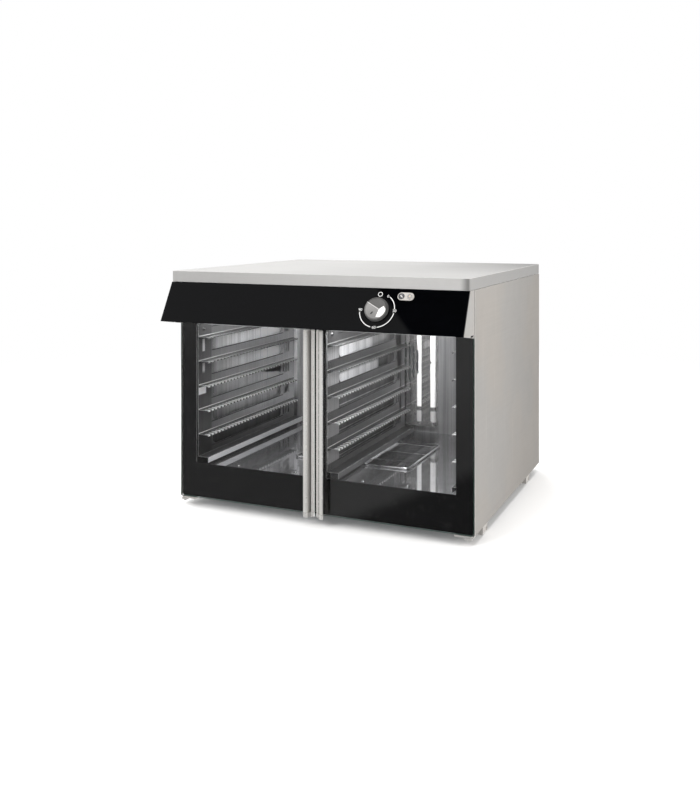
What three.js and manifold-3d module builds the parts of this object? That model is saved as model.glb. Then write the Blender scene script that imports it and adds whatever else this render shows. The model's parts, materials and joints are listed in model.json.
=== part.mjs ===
// Two-door food holding cabinet: stainless body, slanted black glass control
// fascia, two glass doors on pivot hinges, two bays of tray ledges, a water
// basin in the chamber floor, a rear fan and heater, four feet.
//
// Millimetres, +Z up, front of the cabinet towards -Y, right side towards +X.
// Parts are placed from the outer face of the closed door glass (y = 0) and from
// the floor (z = 0). The finished group is moved along Y so that the origin
// is the centre of the footprint on the floor.

import * as THREE from 'three';
import { mergeVertices } from 'three/addons/utils/BufferGeometryUtils.js';
import Module from 'manifold-3d';

const wasm = await Module();
wasm.setup();

// ================================================================== driving dimensions
const HALF_W = 935 / 2;
const HEIGHT = 722;
const BODY_Z = 27.5;             // underside of the body
const TOP_FRONT = -43.5;         // front edge of the top panel
const BACK = 820;                // back of the top panel
const SKIRT_Z = HEIGHT - 32.6;   // lower edge of the top panel's folded skirt
const SHEET = 1.5;               // common sheet thickness
const SHELL_X = HALF_W - 2;      // half width between the side panels, with clearance

const FRAME_Y = 26.3;            // front face of the body frame behind the doors
const SEAT_Y = FRAME_Y - 0.4;    // back face of the parts seated in front of it

const CHAMBER_X = 438.7;         // chamber inside, half width
const CHAMBER_FRONT = 28.7;
const CHAMBER_BACK = 735;
const CHAMBER_FLOOR = 116;
const CHAMBER_TOP = 600;
const CHAMBER_CORNER = 14;       // radius of the two rear corners

const LEDGES = 5;                // tray levels in each bay
const LEDGE_TOP = 512.9;         // height of the highest tray ledge
const LEDGE_PITCH = 75.6;
const FAN_Z = 372;               // height of the fan axis, at x = 0

const WALL_FACE = CHAMBER_BACK - 0.4;   // back ends of parts fixed to the chamber's back wall
const BACK_FACE = BACK - 2.3;           // back ends of parts just inside the back panel

// ================================================================== finishes
const FINISH = {
  stainless: { color: 0xb9b5b0, roughness: 0.34, metalness: 1 },
  innerStainless: { color: 0xb0b2b4, roughness: 0.22, metalness: 1 },
  galvanised: { color: 0x9a9da0, roughness: 0.5, metalness: 0.9 },
  aluminium: { color: 0xcbc9c6, roughness: 0.38, metalness: 1 },
  chrome: { color: 0xd8d8da, roughness: 0.12, metalness: 1 },
  blackGlass: { color: 0x121214, roughness: 0.06, metalness: 0 },
  clearGlass: { color: 0xbfc8cc, roughness: 0.04, metalness: 0 },
  blackFrame: { color: 0x1c1c1e, roughness: 0.45, metalness: 0.1 },
  rubber: { color: 0x2b2b2d, roughness: 0.85, metalness: 0 },
  wool: { color: 0xc9b98e, roughness: 0.95, metalness: 0 },
  darkPlastic: { color: 0x242426, roughness: 0.55, metalness: 0 },
  heaterTube: { color: 0x4a4038, roughness: 0.45, metalness: 0.9 },
  heatingMat: { color: 0x8a3f22, roughness: 0.7, metalness: 0 },
  copper: { color: 0xb87348, roughness: 0.35, metalness: 1 },
  knob: { color: 0xc4c2bf, roughness: 0.3, metalness: 1 },
  shaft: { color: 0xa8a8aa, roughness: 0.35, metalness: 1 },
  thermostat: { color: 0xd9d4c6, roughness: 0.55, metalness: 0 },
  darkLamp: { color: 0x2a2a2c, roughness: 0.2, metalness: 0 },
  paleLamp: { color: 0xc8c6c0, roughness: 0.2, metalness: 0 },
  terminal: { color: 0xd8d8d2, roughness: 0.5, metalness: 0 },
};

// ================================================================== geometry and solids
// three.js geometry -> manifold solid
function solid(geometry) {
  const bare = geometry.clone();
  for (const name of Object.keys(bare.attributes)) {
    if (name !== 'position') bare.deleteAttribute(name);
  }
  const merged = mergeVertices(bare, 1e-4);
  const index = merged.index.array;
  const triangles = [];
  for (let i = 0; i < index.length; i += 3) {
    const [a, b, c] = [index[i], index[i + 1], index[i + 2]];
    if (a !== b && b !== c && a !== c) triangles.push(a, b, c);
  }
  return new wasm.Manifold(new wasm.Mesh({
    numProp: 3,
    vertProperties: Float32Array.from(merged.attributes.position.array),
    triVerts: Uint32Array.from(triangles),
  }));
}

// manifold solid -> three.js geometry; every solid here carries positions only
function geometryOf(manifold) {
  const mesh = manifold.getMesh();
  const geometry = new THREE.BufferGeometry();
  const positions = Float32Array.from(mesh.vertProperties);
  geometry.setAttribute('position', new THREE.BufferAttribute(positions, 3));
  geometry.setIndex(new THREE.BufferAttribute(Uint32Array.from(mesh.triVerts), 1));
  return geometry;
}

// reflect a geometry in the plane x = 0, keeping its faces outward
function mirrored(geometry) {
  const copy = geometry.clone();
  copy.scale(-1, 1, 1);
  const index = copy.index.array;
  for (let i = 0; i < index.length; i += 3) {
    [index[i + 1], index[i + 2]] = [index[i + 2], index[i + 1]];
  }
  return copy;
}

// ------------------------------------------------------------------ flat outlines
// Rounded rectangle; radius is one value or a list that starts at (u0, v0) and
// goes anticlockwise. A zero radius gives a single corner point.
function roundedRect(u0, u1, v0, v1, radius, segments) {
  const radii = Array.isArray(radius) ? radius : [radius, radius, radius, radius];
  const corners = [
    [u0 + radii[0], v0 + radii[0], Math.PI],
    [u1 - radii[1], v0 + radii[1], 1.5 * Math.PI],
    [u1 - radii[2], v1 - radii[2], 0],
    [u0 + radii[3], v1 - radii[3], 0.5 * Math.PI],
  ];
  const points = [];
  corners.forEach(([u, v, start], corner) => {
    const r = radii[corner];
    if (r < 1e-6) {
      points.push([u, v]);
      return;
    }
    for (let i = 0; i <= segments; i++) {
      const angle = start + (i / segments) * Math.PI / 2;
      points.push([u + r * Math.cos(angle), v + r * Math.sin(angle)]);
    }
  });
  return points;
}
const rect = (u0, u1, v0, v1) => roundedRect(u0, u1, v0, v1, 0, 1);

// regular polygon; startStep turns its first corner by a fraction of one side
function circle(u, v, radius, sides, startStep = 0.5) {
  return Array.from({ length: sides }, (_, i) => {
    const angle = 2 * Math.PI * (i + startStep) / sides;
    return [u + radius * Math.cos(angle), v + radius * Math.sin(angle)];
  });
}

function shapeOf(outline, holes = []) {
  const vectors = (points) => points.map(([u, v]) => new THREE.Vector2(u, v));
  const shape = new THREE.Shape(vectors(outline));
  for (const hole of holes) shape.holes.push(new THREE.Path(vectors(hole)));
  return shape;
}

// ------------------------------------------------------------------ solids from outlines
const extrude = (outline, depth, holes) => new THREE.ExtrudeGeometry(
  shapeOf(outline, holes), { depth, bevelEnabled: false, curveSegments: 1 });

// outline in the first two axes of a frame, extruded from w0 to w1 along the third
function framedPrism(outline, w0, w1, frame, holes) {
  const geometry = extrude(outline, w1 - w0, holes);
  geometry.translate(0, 0, w0);
  return solid(geometry.applyMatrix4(frame));
}
// outline in (x, y), from z0 to z1
const prismZ = (outline, z0, z1, holes) =>
  framedPrism(outline, z0, z1, new THREE.Matrix4(), holes);
// outline in (y, z), from x0 to x1
function prismX(outline, x0, x1, holes) {
  const turn = new THREE.Matrix4().set(0, 0, 1, x0, 1, 0, 0, 0, 0, 1, 0, 0, 0, 0, 0, 1);
  return solid(extrude(outline, x1 - x0, holes).applyMatrix4(turn));
}
// outline in (x, z), from y0 to y1
function prismY(outline, y0, y1, holes) {
  const turn = new THREE.Matrix4().set(1, 0, 0, 0, 0, 0, -1, y1, 0, 1, 0, 0, 0, 0, 0, 1);
  return solid(extrude(outline, y1 - y0, holes).applyMatrix4(turn));
}
const cylinderZ = (x, y, radius, z0, z1, sides) => prismZ(circle(x, y, radius, sides), z0, z1);
const cylinderY = (x, z, radius, y0, y1, sides) => prismY(circle(x, z, radius, sides), y0, y1);

function box(x0, x1, y0, y1, z0, z1) {
  const geometry = new THREE.BoxGeometry(x1 - x0, y1 - y0, z1 - z0);
  geometry.translate((x0 + x1) / 2, (y0 + y1) / 2, (z0 + z1) / 2);
  return solid(geometry);
}

// ------------------------------------------------------------------ rods
// a sweep path that is sampled exactly at its given points
class PointPath extends THREE.Curve {
  constructor(points) {
    super();
    this.points = points.map((point) => new THREE.Vector3(...point));
  }

  getPoint(t, target = new THREE.Vector3()) {
    const last = this.points.length - 1;
    const along = Math.min(Math.max(t, 0), 1) * last;
    const i = Math.min(Math.floor(along + 1e-9), last - 1);
    return target.copy(this.points[i]).lerp(this.points[i + 1], along - i);
  }

  getPointAt(u, target) {
    return this.getPoint(u, target);
  }

  // mean direction of the two segments that meet at the point
  getTangentAt(u, target = new THREE.Vector3()) {
    const last = this.points.length - 1;
    const i = Math.round(u * last);
    const here = this.points[i];
    const arriving = here.clone().sub(this.points[Math.max(i - 1, 0)]);
    const leaving = this.points[Math.min(i + 1, last)].clone().sub(here);
    if (arriving.lengthSq() > 0) arriving.normalize();
    if (leaving.lengthSq() > 0) leaving.normalize();
    return target.copy(arriving.add(leaving)).normalize();
  }
}

// round rod along a list of points
function rod(points, radius, sides) {
  return solid(new THREE.ExtrudeGeometry(shapeOf(circle(0, 0, radius, sides)), {
    steps: points.length - 1,
    bevelEnabled: false,
    extrudePath: new PointPath(points),
    curveSegments: 1,
  }));
}

// points of an arc in the plane of the unit vectors uDir and vDir
function arc(centre, radius, uDir, vDir, start, end, segments) {
  return Array.from({ length: segments + 1 }, (_, i) => {
    const angle = start + (end - start) * i / segments;
    return centre.map((middle, axis) =>
      middle + radius * (Math.cos(angle) * uDir[axis] + Math.sin(angle) * vDir[axis]));
  });
}

// ================================================================== outer shell
// shallow inverted tray
function topPanel() {
  const sheet = 1.6;
  const corner = 5;
  const block = (inset, z0, z1) => prismZ(roundedRect(
    -HALF_W + inset, HALF_W - inset, TOP_FRONT + inset, BACK - inset, corner - inset, 3), z0, z1);
  return block(0, SKIRT_Z, HEIGHT).subtract(block(sheet, SKIRT_Z - 1, HEIGHT - sheet));
}

// one sheet, with a narrow strip turned in behind its front edge
function sidePanel() {
  const front = 5;
  const chamfer = 0.5;
  const back = BACK - 0.2;
  const inside = HALF_W - SHEET;
  const stripEnd = 463.1;    // x of the strip's inner end
  const stripBack = 25.7;
  return prismZ([
    [HALF_W, front + chamfer], [HALF_W, back], [inside, back],
    [inside, stripBack], [stripEnd, stripBack],
    [stripEnd, stripBack - SHEET], [inside, stripBack - SHEET],
    [inside, front], [HALF_W - chamfer, front],
  ], BODY_Z, SKIRT_Z - 0.9);
}

const CABLE_X = 400;   // cable outlet on the back
const CABLE_Z = 95;

// sheet with two groups of vent slots and the cable outlet
function backPanel() {
  const slots = { perGroup: 6, z: 590, pitch: 12, height: 5, halfLength: 60 };
  const back = BACK - 0.4;
  const holes = [];
  for (const x of [-210, 210]) {
    for (let i = 0; i < slots.perGroup; i++) {
      const z = slots.z + i * slots.pitch;
      holes.push(roundedRect(
        x - slots.halfLength, x + slots.halfLength, z, z + slots.height, 2.4, 2));
    }
  }
  holes.push(circle(CABLE_X, CABLE_Z, 10.6, 16));
  return prismY(roundedRect(-SHELL_X, SHELL_X, 28, 688, 0.8, 1), back - SHEET, back, holes);
}

// tray with upturned edges at the back and both sides
function basePan() {
  const bottom = BODY_Z + 0.1;
  const inside = SHELL_X - SHEET;
  return box(-SHELL_X, SHELL_X, 30.6, BACK_FACE, bottom, 48)
    .subtract(box(-inside, inside, 20, BACK_FACE - SHEET, bottom + SHEET, 60));
}

// sheet behind the doors, with one opening for each bay
function frontFrame() {
  const thickness = 2;
  const [inner, outer] = [16.6, 425.6];   // opening edges, from the middle
  const opening = (x0, x1) => roundedRect(x0, x1, 117, 556, 12, 3);
  return prismY(roundedRect(-462.6, 462.6, BODY_Z + 0.5, 577.4, 0.8, 1),
    FRAME_Y, FRAME_Y + thickness, [opening(inner, outer), opening(-outer, -inner)]);
}

// ================================================================== holding chamber
// side walls, back wall and ceiling in one shell, open in front and below
function chamberLiner() {
  const block = (grow, front, z0, z1) => {
    const corner = CHAMBER_CORNER + grow;
    return prismZ(roundedRect(-CHAMBER_X - grow, CHAMBER_X + grow, front,
      CHAMBER_BACK + grow, [0, 0, corner, corner], 4), z0, z1);
  };
  const bore = (x, z, radius, sides) =>
    cylinderY(x, z, radius, CHAMBER_BACK - 3, CHAMBER_BACK + 6, sides);
  let liner = block(SHEET, CHAMBER_FRONT, 112, CHAMBER_TOP + SHEET)
    .subtract(block(0, CHAMBER_FRONT - 5, 100, CHAMBER_TOP))
    .subtract(bore(0, FAN_Z, 8, 16));   // fan shaft
  for (const x of [-21.9, 21.9]) {      // heater legs
    liner = liner.subtract(bore(x, FAN_Z - 89.4, 5.2, 12));
  }
  return liner;
}

// floor with the pressed water basin
function chamberFloor() {
  const gap = 0.4;
  const rear = CHAMBER_CORNER - gap;
  const plate = roundedRect(-CHAMBER_X + gap, CHAMBER_X - gap, CHAMBER_FRONT + 0.6,
    CHAMBER_BACK - gap, [0, 0, rear, rear], 4);
  const basinBottom = 86;
  const basin = (grow) =>
    roundedRect(-198 - grow, 198 + grow, 250 - grow, 545 + grow, 28 + grow, 6);
  return prismZ(plate, CHAMBER_FLOOR - SHEET, CHAMBER_FLOOR)
    .add(prismZ(basin(SHEET), basinBottom - SHEET, CHAMBER_FLOOR - 0.5))
    .subtract(prismZ(basin(0), basinBottom, CHAMBER_FLOOR + 2));
}

// ------------------------------------------------------------------ tray racks
const RACK_FRONT = 40;
const RACK_BACK = 690;
const RACK_TOP = 556;
const RACK_BOTTOM = 142;        // top face of the lowest fold
const SIDE_RACK_X = 427;        // faces, from the middle
const MIDDLE_RACK_X = 15;
const STUD_Y = [70, 660];       // studs, spacers and legs
const SIDE_STUD_Z = [180, 535];
const SPACER_Z = [180, 540];

// small block between two x values, square in (y, z)
const stud = (x0, x1, y, z, half = 5) => box(x0, x1, y - half, y + half, z - half, z + half);

// windowed sheet with folded ledges, drawn for a face that looks to +x
function rack(faceX, fixings) {
  const sheet = 1.2;
  const reach = 35;    // how far a ledge stands out
  const slots = { count: 3, y: 598, pitch: 20, width: 11 };
  const levels = Array.from({ length: LEDGES }, (_, i) => LEDGE_TOP - i * LEDGE_PITCH);
  const windows = levels.map((z) => roundedRect(122, 585, z - 48.6, z - 8.6, 18, 5));
  let body = prismX(
    roundedRect(RACK_FRONT, RACK_BACK, RACK_BOTTOM - sheet, RACK_TOP, [0, 0, 10, 10], 3),
    faceX - sheet, faceX, windows);
  for (const z of levels) {
    for (let i = 0; i < slots.count; i++) {
      const y = slots.y + i * slots.pitch;
      body = body.subtract(
        box(faceX - sheet - 2, faceX + 2, y, y + slots.width, z - 47, z - 11));
    }
  }
  // ledge with a turned-down lip and a small chamfer on its outer edge
  const edge = faceX + reach;
  const ledge = (z, lip, back) => prismY([
    [faceX - 0.6, z - sheet], [faceX - 0.6, z], [edge - 0.8, z], [edge, z - 0.8],
    [edge, z - lip], [edge - sheet, z - lip], [edge - sheet, z - sheet],
  ], RACK_FRONT, back);
  for (const z of levels) body = body.add(ledge(z, 5, 655));
  body = body.add(ledge(RACK_BOTTOM, 17, RACK_BACK));
  for (const fixing of fixings) body = body.add(fixing);
  return body;
}

// left rack, on studs that reach to the liner wall
function sideRack() {
  return rack(-SIDE_RACK_X, STUD_Y.flatMap((y) =>
    SIDE_STUD_Z.map((z) => stud(-CHAMBER_X + 0.4, -SIDE_RACK_X - 0.6, y, z))));
}

// right one of two back-to-back racks, on legs, with spacers towards the middle
function middleRack() {
  return rack(MIDDLE_RACK_X, STUD_Y.flatMap((y) => [
    box(MIDDLE_RACK_X - 3.2, MIDDLE_RACK_X, y - 6, y + 6, CHAMBER_FLOOR + 0.4, 150),
    ...SPACER_Z.map((z) => stud(0.3, MIDDLE_RACK_X - 0.6, y, z)),
  ]));
}

// plain sheet between the two middle racks, cut out around their spacers
function rackDivider() {
  const outline = roundedRect(RACK_FRONT + 2, RACK_BACK - 2, 143, RACK_TOP, [0, 0, 10, 10], 3);
  let sheet = prismX(outline, -0.6, 0.6);
  for (const y of STUD_Y) {
    for (const z of SPACER_Z) sheet = sheet.subtract(stud(-2, 2, y, z, 5.5));
  }
  return sheet;
}

// wire loop lying just above the floor along the basin's edge
function basinGuard() {
  const wire = 3.5;
  const z = CHAMBER_FLOOR + wire + 0.8;
  const halfWidth = 192;
  const [front, back] = [240, 553];
  const bend = 14;
  const half = (side) => {
    const corner = (y, start, end) => arc(
      [side * (halfWidth - bend), y, z], bend, [side, 0, 0], [0, 1, 0], start, end, 4);
    return rod([
      [side * 1.5, front, z],
      ...corner(front + bend, -Math.PI / 2, 0),
      ...corner(back - bend, 0, Math.PI / 2),
      [side * 1.5, back, z],
    ], wire, 10);
  };
  // the two bent halves meet in a short sleeve in front and behind
  const sleeve = (y) => prismX(circle(y, z, wire + 0.45, 12), -7, 7);
  return half(1).add(half(-1)).add(sleeve(front)).add(sleeve(back));
}

// ------------------------------------------------------------------ fan and heaters
// air duct in front of the back wall, with the fan grille and side outlets
function rearDuct() {
  const front = 700;
  const halfWidth = 126;
  const corner = 12;
  const [bottom, top] = [145, CHAMBER_TOP - 2];
  const block = (inset, back, z0, z1) => prismZ(roundedRect(-halfWidth + inset,
    halfWidth - inset, front + inset, back, [corner - inset, corner - inset, 0, 0], 4), z0, z1);
  let duct = block(0, WALL_FACE, bottom, top)
    .subtract(block(SHEET, WALL_FACE + 5, bottom - 2, top + 2));
  const grille = { radius: 74, pitch: 15, halfSlot: 3.5 };
  for (let i = -4; i <= 4; i++) {
    const x = i * grille.pitch;
    const reach = Math.sqrt(grille.radius ** 2 - x ** 2);
    duct = duct.subtract(prismY(roundedRect(x - grille.halfSlot, x + grille.halfSlot,
      FAN_Z - reach, FAN_Z + reach, 3.4, 2), front - 3, front + 5));
  }
  for (let i = 0; i < LEDGES; i++) {
    const z = 190 + i * LEDGE_PITCH;
    duct = duct.subtract(
      box(-halfWidth - 5, halfWidth + 5, front + 14, front + 26, z, z + 34));
  }
  return duct;
}

// radial wheel: disc, hub and shaft, blades in front of the disc
function fanWheel() {
  const discBack = 727;
  const overlap = discBack - 1;    // mid-plane of the disc, where the parts join it
  const blade = { count: 12, length: 22, depth: 19, thickness: 1.6, radius: 58, pitch: 0.55 };
  let wheel = cylinderY(0, FAN_Z, 72, discBack - 2, discBack, 32)
    .add(cylinderY(0, FAN_Z, 12, discBack - 18, overlap, 16))
    .add(cylinderY(0, FAN_Z, 4, overlap, 765, 12));
  for (let i = 0; i < blade.count; i++) {
    const geometry = new THREE.BoxGeometry(blade.length, blade.depth, blade.thickness);
    geometry.rotateY(blade.pitch);
    geometry.translate(blade.radius, 0, 0);
    geometry.rotateY(i * 2 * Math.PI / blade.count);
    geometry.translate(0, overlap - blade.depth / 2, FAN_Z);
    wheel = wheel.add(solid(geometry));
  }
  return wheel;
}

// motor behind the chamber wall, bored for the fan shaft
function fanMotor() {
  return prismY(roundedRect(-50, 50, FAN_Z - 50, FAN_Z + 50, 8, 3), 737.2, 739.4)
    .add(cylinderY(0, FAN_Z, 41, 739, 792, 28))
    .add(cylinderY(0, FAN_Z, 16, 791, 800, 16))
    .subtract(cylinderY(0, FAN_Z, 5.2, 730, 770, 12));
}

// ring around the fan, open at the bottom, its two legs through the back wall
function heaterRing() {
  const y = 716;
  const legEnd = 764;
  const gap = 0.24;    // half of the opening, in radians
  const ring = arc([0, y, FAN_Z], 92, [1, 0, 0], [0, 0, 1],
    -Math.PI / 2 + gap, 1.5 * Math.PI - gap, 28);
  // leg from its far end to the bend; inward is the x direction into the bend
  const leg = ([x, , z], inward) => [
    [x, legEnd, z], [x, y + 9, z], [x + inward * 0.8, y + 3, z + 0.1],
  ];
  return rod([
    ...leg(ring[0], 1),
    ...ring.slice(1, -1),
    ...leg(ring[ring.length - 1], -1).reverse(),
  ], 3.3, 8);
}

// bulb along x, clipped to the back wall
function thermostatBulb() {
  const [y, z] = [725, 560];
  const stations = [262, 263, 265, 368, 370, 372];   // x of the rod's points
  let bulb = rod(stations.map((x) => [x, y, z]), 3.2, 10);
  for (const x of [284, 342]) bulb = bulb.add(box(x, x + 8, y - 1, WALL_FACE, z - 5, z + 5));
  return bulb;
}

// ------------------------------------------------------------------ insulation
// inverted U over the two sides and the top of the chamber
function insulationWrap() {
  const [outer, inner] = [464.2, 441];
  const [bottom, innerTop, top] = [50, 602.4, 640];
  return prismY([
    [-outer, bottom], [-outer, top], [outer, top], [outer, bottom],
    [inner, bottom], [inner, innerTop], [-inner, innerTop], [-inner, bottom],
  ], 31, 736);
}

// slab behind the chamber, cut out around the motor and the heater legs
function insulationBack() {
  return prismY(rect(-440, 440, 52, 600), 738, 776, [
    rect(-54, 54, FAN_Z - 54, FAN_Z + 54),
    rect(-32, 32, FAN_Z - 102, FAN_Z - 82),
  ]);
}

// ================================================================== control housing, fascia
const FASCIA_LOW = { y: -104, z: 574.5 };    // lower front edge
const FASCIA_HIGH = { y: -43.8, z: 688.8 };  // upper front edge
const FASCIA_GLASS = 5;
const HOOD_Z = 578;                          // underside of the control housing

// unit vector up the slope; its x holds the cabinet's y, its y holds the cabinet's z
const slope = new THREE.Vector2(
  FASCIA_HIGH.y - FASCIA_LOW.y, FASCIA_HIGH.z - FASCIA_LOW.z).normalize();
// y of the fascia's front face at height z
const fasciaY = (z) => FASCIA_LOW.y + (z - FASCIA_LOW.z) * (slope.x / slope.y);
// thickness across the glass -> the same thickness measured along y
const alongY = (thickness) => thickness / slope.y;

// frame on the fascia: x to the right, y up the slope, z out of the face
function onFascia(x, z) {
  return new THREE.Matrix4().makeBasis(
    new THREE.Vector3(1, 0, 0),
    new THREE.Vector3(0, slope.x, slope.y),
    new THREE.Vector3(0, -slope.y, slope.x),
  ).setPosition(x, fasciaY(z), z);
}
const framedDisc = (radius, sides, w0, w1, frame) =>
  framedPrism(circle(0, 0, radius, sides), w0, w1, frame);

// profile rows are [radius, height out of the face]
function framedLathe(profile, segments, frame) {
  const points = profile.map(([radius, height]) => new THREE.Vector2(radius, height));
  const geometry = new THREE.LatheGeometry(points, segments);
  geometry.rotateX(Math.PI / 2);
  return solid(geometry.applyMatrix4(frame));
}

const KNOB_FRAME = onFascia(216, 632);
const LAMPS_FRAME = onFascia(292.8, 669);
const LAMP_OFFSET = 24 / 2;    // half of the pitch between the two lamps

function lampFrame(side) {
  const shift = new THREE.Matrix4().makeTranslation(side * LAMP_OFFSET, 0, 0);
  return LAMPS_FRAME.clone().multiply(shift);
}

function controlHousing() {
  const back = -0.4;
  const cheekLow = 559;       // height of the cheek's lower back corner
  const rearX = 462.5;        // half width of the part behind the doors' front face
  const plateX = SHELL_X + 0.5;
  // cheeks behind the ends of the glass; their lower edge falls towards the back
  const gap = alongY(FASCIA_GLASS + 0.35);
  const fall = (FASCIA_LOW.z - cheekLow) / (back - FASCIA_LOW.y);
  const cheek = prismX([
    [FASCIA_LOW.y + gap, FASCIA_LOW.z - fall * gap], [FASCIA_HIGH.y + gap, FASCIA_HIGH.z],
    [back, FASCIA_HIGH.z], [back, cheekLow],
  ], SHELL_X, HALF_W);
  // flange behind the glass
  const flange = (z0, z1) => prismX([
    [fasciaY(z0) + 6.1, z0], [fasciaY(z1) + 6.1, z1],
    [fasciaY(z1) + 7.9, z1], [fasciaY(z0) + 7.9, z0],
  ], -plateX, plateX);
  return cheek
    .add(solid(mirrored(geometryOf(cheek))))
    .add(box(-plateX, plateX, fasciaY(HOOD_Z) + 7, back, HOOD_Z, HOOD_Z + SHEET))
    .add(box(-rearX, rearX, -0.8, SEAT_Y, HOOD_Z, HOOD_Z + SHEET))
    .add(box(-rearX, rearX, SEAT_Y - SHEET, SEAT_Y, HOOD_Z, 640))
    .add(flange(HOOD_Z, 598))
    .add(flange(680, 688.4))
    // slot low on each cheek
    .subtract(prismX(roundedRect(-36, -8, 564, 569.5, 2.6, 3), -480, 480));
}

// slanted pane with holes for the knob shaft and the two lamps
function fasciaGlass() {
  const depth = alongY(FASCIA_GLASS);
  let glass = prismX([
    [FASCIA_LOW.y, FASCIA_LOW.z], [FASCIA_HIGH.y, FASCIA_HIGH.z],
    [FASCIA_HIGH.y + depth, FASCIA_HIGH.z], [FASCIA_LOW.y + depth, FASCIA_LOW.z],
  ], -HALF_W, HALF_W);
  glass = glass.subtract(framedDisc(5.6, 20, -12, 8, KNOB_FRAME));
  for (const side of [-1, 1]) {
    glass = glass.subtract(framedDisc(7.3, 16, -12, 8, lampFrame(side)));
  }
  return glass;
}

// turned cap with a dished face, bore for the shaft and pointer mark
function controlKnob() {
  const radius = 34;
  const cap = framedLathe([
    [0, 8], [3.2, 8], [3.2, 1], [radius, 1], [radius, 3],
    [radius - 0.5, 4], [radius - 1.2, 11.2], [radius - 2, 12.6],
    [radius - 3.4, 13], [radius - 5.2, 12.7], [0, 10.8],
  ], 40, KNOB_FRAME);
  const pointer = new THREE.BoxGeometry(2.6, 9, 6);
  pointer.translate(0, 16, 13.5);
  pointer.rotateZ(-215 * Math.PI / 180);
  return cap.subtract(solid(pointer.applyMatrix4(KNOB_FRAME)));
}

// square body behind the glass, with a bored neck
function thermostatBody() {
  return framedPrism(roundedRect(-21, 21, -21, 21, 3, 2), -38, -9.5, KNOB_FRAME)
    .add(framedDisc(5.2, 16, -10, -0.6, KNOB_FRAME))
    .subtract(framedDisc(3.4, 16, -24, 3, KNOB_FRAME));
}

// pill-shaped plate with a hole for each lamp
function lampBezel() {
  const pill = roundedRect(-23.6, 23.6, -11.3, 11.3, 11.25, 7);
  const holes = [-1, 1].map((side) => circle(side * LAMP_OFFSET, 0, 8.7, 20));
  return framedPrism(pill, 0.3, 3.2, LAMPS_FRAME, holes);
}

// lamp with a domed head and a stem through the glass; side -1 is left, 1 is right
function lamp(side) {
  return framedLathe([
    [0, -24], [6.4, -24], [6.4, 0.4], [8.3, 0.4],
    [8.3, 3.4], [6.6, 4.6], [3.6, 5.4], [0, 5.7],
  ], 20, lampFrame(side));
}

// ================================================================== doors (right one drawn)
const DOOR_X = 2;               // inner edge of the glass
const DOOR_BOTTOM = 28;
const DOOR_TOP = 566;
const DOOR_GLASS = 6;           // thickness
const WINDOW = { x0: 25, x1: 414, z0: 132, z1: 561 };   // clear area in the black border
const PIVOT = { x: 451.8, y: 4 };                       // hinge axis

function doorGlass() {
  return prismY(roundedRect(DOOR_X, 465, DOOR_BOTTOM, DOOR_TOP, 2, 2), 0, DOOR_GLASS);
}

// black border behind the glass, with a thin rim around the clear window
function doorFrame() {
  const { x0, x1, z0, z1 } = WINDOW;
  const front = DOOR_GLASS + 0.3;
  const outline = roundedRect(DOOR_X + 0.8, 461.2, DOOR_BOTTOM + 0.6, DOOR_TOP - 0.6, 2, 2);
  const border = prismY(outline, front, 16,
    [roundedRect(x0 - 10, x1 + 12, z0 - 10, z1 - 0.5, 2, 1)]);
  const rim = prismY(roundedRect(x0 - 11, x1 + 13, z0 - 11, z1 + 1, 2, 1), front,
    DOOR_GLASS + 3, [roundedRect(x0, x1, z0, z1 - 1, 3, 2)]);
  return border.add(rim);
}

// gasket around the back of the door
function doorGasket() {
  return prismY(roundedRect(6, 438, 106, 565.2, 6, 3), 16.3, SEAT_Y,
    [roundedRect(14.8, 426.2, 121.5, 560.6, 4, 4)]);
}

// handle extrusion section, (x, y): base on the glass, groove, slanted web, outer bar
const HANDLE_SECTION = [
  [3.9, -0.3], [3.9, -13.4], [4.8, -14.3], [11.4, -14.3], [12.2, -13.5],
  [12.2, -9.6], [14.4, -8.6], [18.7, -24.0], [19.4, -27.2], [20.8, -28.6],
  [30.1, -28.6], [31.1, -27.6], [31.1, -24.6], [30.2, -23.8], [24.2, -23.8],
  [23.2, -23.0], [18.4, -8.0], [17.5, -7.0], [17.5, -0.3],
];
// handle end cap outline, (x, y)
const CAP_SECTION = [
  [3.9, -0.3], [3.9, -12.8], [5.4, -14.3], [12.0, -14.4], [19.2, -27.6],
  [20.8, -28.6], [29.1, -28.6], [31.1, -26.9], [31.1, -24.6], [30.2, -23.8],
  [24.2, -23.8], [18.4, -8.0], [17.5, -7.0], [17.5, -0.3],
];

// plates at the outer corners of the door, 0.5 below and above the glass
const PIVOT_PLATE = 5.1;
const LOWER_PIVOT_Z = DOOR_BOTTOM - 0.5 - PIVOT_PLATE;
const UPPER_PIVOT_Z = DOOR_TOP + 0.5;

function pivotPlate(z) {
  return prismZ(roundedRect(411, 460.6, -2.5, 15.6, [4, 5, 3, 3], 3), z, z + PIVOT_PLATE,
    [circle(PIVOT.x, PIVOT.y, 3.4, 14)]);
}

// fixed bracket from a (y, z) section, with its hinge pin
function hingeBracket(section, pinBottom, pinTop) {
  return prismX(section, 441, 461.2)
    .add(cylinderZ(PIVOT.x, PIVOT.y, 3, pinBottom, pinTop, 14));
}
const LOWER_BRACKET = [
  [-2.5, 17.6], [-2.5, 21.6], [30.2, 21.6], [30.2, 27.2],
  [62, 27.2], [62, 24.2], [33.4, 24.2], [33.4, 17.6],
];
const UPPER_BRACKET = [
  [-2.5, 572.6], [-2.5, 576.6], [SEAT_Y, 576.6],
  [SEAT_Y, 567.4], [23.4, 567.4], [23.4, 572.6],
];

// ================================================================== electrics at the back
// block with a row of pockets in its front face
function terminalBlock() {
  let block = box(286, 362, 797, BACK_FACE, 84, 106);
  for (let i = 0; i < 5; i++) {
    const x = 291 + i * 14.4;
    block = block.subtract(box(x, x + 9, 790, 803, 89, 101));
  }
  return block;
}

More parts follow.
